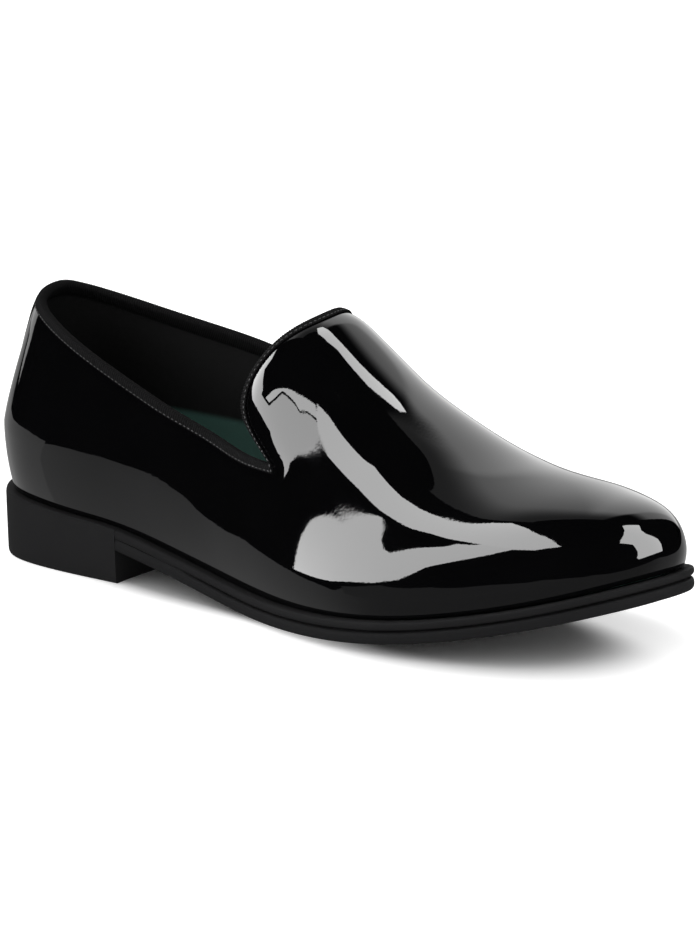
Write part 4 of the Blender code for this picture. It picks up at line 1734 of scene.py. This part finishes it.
@dataclass(frozen=True)
class SoftBox:
    """A soft light: where it stands seen from the shoe, its size in metres and its brightness."""

    name: str
    azimuth: float
    elevation: float
    distance: float
    width: float
    height: float
    brightness: float

    def build(self) -> None:
        """Hangs the light so that it faces the shoe."""
        side, up, outwards = facing(self.azimuth, self.elevation)
        light = bpy.data.lights.new(self.name, "AREA")
        light.shape = "RECTANGLE"
        light.size, light.size_y = self.width, self.height
        light.energy = self.brightness * math.pi * self.width * self.height
        obj = bpy.data.objects.new(self.name, light)
        rotation = Matrix((side, up, outwards)).transposed().to_4x4()
        obj.matrix_world = Matrix.Translation(outwards * self.distance) @ rotation
        obj.visible_camera = obj.visible_glossy = False
        bpy.context.scene.collection.objects.link(obj)


@dataclass(frozen=True)
class LightCard:
    """A lit card cut to shape, seen only as a reflection in the patent film.

    The card faces a place on the shoe, in millimetres of the part's frame. Its corners are millimetres to
    its right and upwards from its middle.
    """

    name: str
    aim: tuple[float, float, float]
    azimuth: float
    elevation: float
    distance: float
    brightness: float
    corners: tuple[tuple[float, float], ...]

    def build(self) -> None:
        """Hangs the card."""
        side, up, outwards = facing(self.azimuth, self.elevation)
        middle = Vector(self.aim) + outwards * self.distance
        points = [(middle + side * right + up * above) * MM for right, above in self.corners]
        material = glowing(self.name, self.brightness)
        mirror_only(stage_sheet(self.name, points, [range(len(points))], material))


@dataclass
class Studio:
    """White floor, white sweep behind the shoe, soft light, lit cards and the camera."""

    azimuth: float = 43.0
    elevation: float = 13.42
    distance: float = 1700.0
    focal_pixels: float = 4824.6
    picture_width: float = 700.0
    centre_x: float = 326.7
    centre_y: float = 483.2
    middle: tuple[float, float] = (350.0, 466.0)
    roll: float = -1.7
    target: tuple[float, float, float] = (150.0, 0.0, 40.0)
    sensor: float = 36.0
    clip: tuple[float, float] = (0.05, 60.0)
    boxes: tuple[SoftBox, ...] = (
        SoftBox("back_light", 155.0, 42.0, 1.6, 1.0, 0.8, 3.0),
    )
    cards: tuple[LightCard, ...] = (
        LightCard("streak_card", (60.0, -30.0, 55.0), -120.0, 32.0, 90.0, 11.0, (
            (-24.0, 55.5), (-23.0, 21.0), (-5.0, 23.0), (6.0, 29.0), (13.0, 38.0), (30.0, 42.0), (80.0, 46.0),
            (110.0, 55.0), (158.0, 93.0), (130.0, 97.0), (100.0, 109.0), (60.0, 114.0), (20.0, 124.0),
            (-14.0, 127.0), (-19.0, 112.0), (-13.5, 92.0), (-9.0, 78.0), (-10.5, 66.0),
            (-18.0, 67.0), (-20.5, 61.0),
        )),
        LightCard("ball_card", (30.0, 0.0, 50.0), -120.0, 32.0, 250.0, 10.5, (
            (100.0, 112.0), (96.0, 94.0), (74.0, 86.0), (76.0, 64.0), (66.0, 30.0), (60.0, 0.0),
            (53.0, -22.0), (45.0, -20.0), (38.0, 0.0), (33.0, 40.0), (28.0, 62.0), (14.0, 20.0),
            (0.0, -30.0), (-55.0, -120.0), (-95.0, -180.0), (-130.0, -232.0), (-40.0, -195.0),
            (0.0, -165.0), (50.0, -135.0), (90.0, -100.0), (105.0, -70.0), (115.0, -30.0), (150.0, 30.0),
            (185.0, 95.0), (245.0, 112.0), (310.0, 178.0),
        )),
        LightCard("tongue_card", (4.0, -27.0, 70.0), -140.0, 30.0, 60.0, 8.5, (
            (-8.0, 0.0), (3.0, 1.0), (9.2, 2.0), (14.1, 12.7), (18.0, 24.3), (23.7, 29.8), (28.7, 34.1),
            (32.5, 34.3), (35.4, 45.3), (38.0, 50.8), (40.4, 53.5), (41.2, 38.0), (40.6, 24.0),
            (37.8, 8.0), (31.0, -10.0), (21.0, -25.0), (15.0, -31.0), (12.0, -26.0), (11.0, -18.0),
            (0.0, -15.0), (-8.0, -14.8),
        )),
        LightCard("tongue_edge_card", (4.0, -27.0, 70.0), -140.0, 30.0, 150.0, 8.5, (
            (-120.0, -16.0), (-116.0, 18.0), (-90.0, 54.0), (-62.0, 39.0), (-61.0, 14.0), (-22.0, 5.0),
            (-8.0, 1.0), (-6.0, -20.0), (-14.0, -34.0), (-23.0, -39.0), (-55.0, -41.0), (-92.0, -32.0),
        )),
        LightCard("tongue_rim_card", (4.0, -27.0, 70.0), -140.0, 30.0, 60.0, 10.5, (
            (3.0, 3.0), (8.0, 14.0), (18.0, 31.0), (27.0, 46.0), (36.0, 68.0), (39.5, 58.0), (37.8, 52.8),
            (35.0, 47.0), (32.2, 36.1), (28.3, 36.1), (22.9, 31.6), (17.1, 25.9), (13.2, 14.0), (8.5, 4.0),
        )),
        LightCard("ridge_card", (20.0, -6.0, 88.0), 80.0, 68.0, 45.0, 11.0, (
            (26.0, 10.0), (17.0, 14.0), (6.0, 11.0), (1.0, 6.0), (-3.2, 4.5), (-7.0, 2.5), (-10.5, 0.0),
            (-11.0, -5.0), (-13.4, -10.0), (-13.0, -15.0), (-10.0, -17.0), (-8.0, -17.0), (-6.6, -11.0),
            (-3.4, -7.0), (2.6, -2.6), (8.4, 1.0), (17.0, 3.0), (24.0, 5.0),
        )),
        LightCard("toe_card", (143.0, -2.0, 41.0), 5.0, 38.0, 250.0, 11.5, (
            (-95.0, 15.0), (-75.0, 45.0), (-35.0, 85.0), (10.0, 135.0), (55.0, 200.0), (75.0, 200.0),
            (130.0, 165.0), (115.0, 145.0), (80.0, 100.0), (75.0, 60.0), (100.0, 30.0), (130.0, -5.0),
            (135.0, -50.0), (120.0, -115.0), (50.0, -130.0), (-20.0, -155.0), (-90.0, -185.0),
            (-95.0, -155.0), (-70.0, -90.0), (-60.0, -20.0), (-85.0, 5.0),
        )),
        LightCard("low_card", (0.0, -40.0, 25.0), -95.0, 0.0, 1000.0, 0.27, (
            (-700.0, -200.0), (1150.0, -200.0), (1150.0, -120.0), (839.0, 50.0), (649.0, 50.0),
            (488.0, 110.0), (364.0, 150.0), (176.0, 160.0), (17.0, 207.0), (-140.0, 185.0),
            (-364.0, 170.0), (-466.0, 117.0), (-601.0, 20.0), (-700.0, -40.0),
        )),
        LightCard("heel_card", (-145.0, -20.0, 30.0), -165.0, 0.0, 80.0, 0.6, (
            (-45.0, -120.0), (40.0, -120.0), (46.0, -60.0), (52.0, -22.0), (62.0, -8.0), (66.0, 1.0),
            (60.0, 4.0), (52.0, 8.0), (43.0, 12.5), (29.0, 15.0), (12.0, 16.5), (0.0, 17.0),
            (-20.0, 19.0), (-45.0, 22.0),
        )),
    )
    lit_floor: Rows = (
        # azimuth, reach in metres of the floor that the film mirrors
        (-180.0, 3.6), (-168.0, 3.2), (-161.0, 2.8), (-158.5, 2.2), (-157.5, 1.75), (-154.0, 1.95),
        (-149.0, 2.05), (-145.0, 2.15), (-141.0, 2.4), (-138.0, 2.35), (-135.0, 2.15), (-133.5, 2.2),
        (-132.0, 3.5), (-130.5, 8.0), (-120.0, 12.0), (-90.0, 12.0), (-55.0, 12.0), (-46.0, 3.9),
        (-37.0, 2.0), (-30.0, 1.75), (-22.0, 1.25), (-15.0, 1.2), (-4.0, 1.65), (8.0, 4.0), (18.0, 10.0),
        (45.0, 12.0), (90.0, 12.0), (135.0, 12.0), (172.0, 9.0),
    )
    lit_depth: float = 0.3
    lit_glow: float = 0.47
    lit_drop: float = 0.21
    lit_drop_turn: float = -60.0
    lit_drop_edge: tuple[float, float] = (0.1, 0.6)
    floor_reach: float = 6.0
    sky: float = 0.85
    floor_colour: float = 0.9
    floor_glow: float = 0.6
    # patches where the floor's glow is held back, which paint the shade round the shoe and under its toe
    shade_half: tuple[float, float] = (150.0, 48.0)
    shade_edge: tuple[float, float] = (0.72, 0.95)
    toe_shade: tuple[float, float] = (75.0, -16.0)
    toe_shade_half: tuple[float, float] = (58.0, 30.0)
    toe_shade_edge: tuple[float, float] = (0.7, 1.6)
    sweep_turn: tuple[float, float] = (70.0, 181.0)
    sweep_slant: float = 32.0
    sweep_rise: float = 75.0
    sweep_reach: float = 3.2
    sweep_rows: int = 30
    sweep_columns: int = 40
    sweep_glow: float = 1.2
    sweep_lift: float = 0.6
    sweep_lift_turn: float = 112.0
    sweep_lift_edge: tuple[float, float] = (0.97, 0.99)
    sweep_shoulder: float = 0.81
    sweep_top: float = 0.955
    sweep_rest: float = 0.25
    sweep_rear_turn: float = 180.0
    sweep_dip: float = 0.1
    sweep_dip_edge: tuple[float, float] = (0.14, 0.29)

    def camera(self, origin: np.ndarray) -> None:
        """Sets the camera at the photo's angle.

        Args:
            origin: The part's origin in the last's frame.
        """
        a, e, r = (math.radians(v) for v in (self.azimuth, self.elevation, self.roll))
        back = Vector((math.sin(a) * math.cos(e), -math.cos(a) * math.cos(e), math.sin(e)))
        right = Vector((math.cos(a), math.sin(a), 0.0))
        up = back.cross(right)
        place = Vector(self.target) + back * self.distance - Vector(origin)
        aside = (self.middle[0] - self.centre_x) / self.focal_pixels
        above = (self.centre_y - self.middle[1]) / self.focal_pixels
        back = (back - right * aside - up * above).normalized()
        right = (right - back * right.dot(back)).normalized()
        up = back.cross(right)
        right, up = right * math.cos(r) + up * math.sin(r), up * math.cos(r) - right * math.sin(r)
        data = bpy.data.cameras.new("photo_camera")
        data.sensor_fit = "HORIZONTAL"
        data.sensor_width = self.sensor
        data.lens = self.focal_pixels * data.sensor_width / self.picture_width
        data.clip_start, data.clip_end = self.clip
        obj = bpy.data.objects.new("photo_camera", data)
        rotation = Matrix((right, up, back)).transposed().to_4x4()
        obj.matrix_world = Matrix.Translation(place * MM) @ rotation
        bpy.context.scene.collection.objects.link(obj)
        bpy.context.scene.camera = obj

    def floor(self) -> None:
        """Lays the white floor, whose glow away from the shoe is painted light; the glow is held back round
        the shoe and in a patch under its toe, which paints the shade there.
        """
        def away(kit: NodeKit, middle: Sequence[float], half: Sequence[float]) -> Wire:
            """Distance from a middle, in half lengths and half breadths.

            Args:
                kit: Adds nodes to the material's tree.
                middle: The middle in millimetres.
                half: Half length and half breadth in millimetres.

            Returns:
                The distance.
            """
            offset, scale = [c * MM for c in middle], [1.0 / (h * MM) for h in half]
            where = kit.vector("SUBTRACT", kit.place(), (*offset, 0.0))
            return kit.vector("LENGTH", kit.vector("MULTIPLY", where, (*scale, 0.0)), output="Value")

        def glow(kit: NodeKit) -> Wire:
            """Painted light outside the two patches of painted shade.

            Args:
                kit: Adds nodes to the material's tree.

            Returns:
                The brightness.
            """
            shoe = away(kit, (0.0, 0.0), self.shade_half).step(*self.shade_edge)
            toe = away(kit, self.toe_shade, self.toe_shade_half).step(*self.toe_shade_edge)
            return shoe * toe * self.floor_glow

        reach = self.floor_reach
        square = [(-reach, -reach, 0.0), (reach, -reach, 0.0), (reach, reach, 0.0), (-reach, reach, 0.0)]
        material = glowing("white_floor", glow, self.floor_colour)
        floor = stage_sheet("studio_floor", square, [range(4)], material)
        floor.visible_glossy = False

    def mirrored_floor(self) -> None:
        """Lays the lit card that stands for the floor in the patent film, duller ahead of the ball."""
        def glow(kit: NodeKit) -> Wire:
            """Brightness by azimuth."""
            return self.lit_glow - self.lit_drop * kit.towards(self.lit_drop_turn).step(*self.lit_drop_edge)

        below = Vector((0.0, 0.0, -self.lit_depth))
        outline = [facing(turn, 0.0)[2] * reach + below for turn, reach in self.lit_floor]
        mirror_only(stage_sheet("floor_card", outline, [range(len(outline))], glowing("floor_card", glow)))

    def backdrop(self) -> None:
        """Stands a white sweep behind the shoe, bright up to its shoulder and dim at its top.

        Its edge by the toe leans back to the floor.
        """
        def glow(kit: NodeKit) -> Wire:
            """Brightness by height and azimuth.

            Args:
                kit: Adds nodes to the material's tree.

            Returns:
                The brightness.
            """
            rear = kit.towards(self.sweep_rear_turn).step(*self.sweep_dip_edge)
            height = kit.height() * (1.0 / self.sweep_reach) + self.sweep_dip * (1.0 - rear)
            share = height.step(self.sweep_shoulder, self.sweep_top)
            lift = self.sweep_lift * kit.towards(self.sweep_lift_turn).step(*self.sweep_lift_edge)
            return (1.0 - share) * (self.sweep_glow + lift) + share * self.sweep_rest * rear

        skin = Skin()
        start, end = self.sweep_turn
        rows = []
        for rise in np.linspace(0.0, self.sweep_rise, self.sweep_rows):
            first = start + self.sweep_slant * (1.0 - rise / self.sweep_rise)
            turns = np.linspace(first, end, self.sweep_columns)
            rows.append(skin.add([facing(turn, rise)[2] for turn in turns]))
        for low, high in zip(rows, rows[1:]):
            skin.bridge(high, low)
        points = skin.array() * self.sweep_reach
        sheet = stage_sheet("studio_sweep", points, skin.faces, glowing("white_sweep", glow))
        sheet.data.shade_smooth()
        mirror_only(sheet)

    def world(self) -> None:
        """Lights floor and matt surfaces evenly, without a glint in the patent film."""
        world = bpy.data.worlds.new("studio_air")
        world.use_nodes = True
        shader = world.node_tree.nodes["Background"]
        shader.inputs["Color"].default_value = WHITE
        shader.inputs["Strength"].default_value = self.sky
        bpy.context.scene.world = world
        world.cycles_visibility.glossy = False
        bpy.context.scene.view_settings.view_transform = "Standard"

    def build(self, origin: np.ndarray) -> None:
        """Builds the whole studio.

        Args:
            origin: The part's origin in the last's frame.
        """
        self.camera(origin)
        self.floor()
        self.mirrored_floor()
        self.backdrop()
        self.world()
        for light in (*self.boxes, *self.cards):
            light.build()


def main() -> None:
    """Builds the shoe and its studio, and notes the sizes."""
    logging.basicConfig(level=logging.INFO, format="%(name)s: %(message)s")
    last = LoaferLast()
    origin = last.origin()
    upper = UpperShell(last)
    skin, edge = upper.build(origin)
    seats = [CollarRibbon(upper).build(skin, edge, origin), BackStay(upper).build(origin)]
    SeamStitches().build(np.concatenate(seats), origin)
    sole = SoleUnit(last)
    sole.build_plate(origin)
    sole.build_welt(origin)
    sole.build_heel(origin)
    SockInsole(last).build(origin)
    Studio().build(origin)


if __name__ == "__main__":
    main()
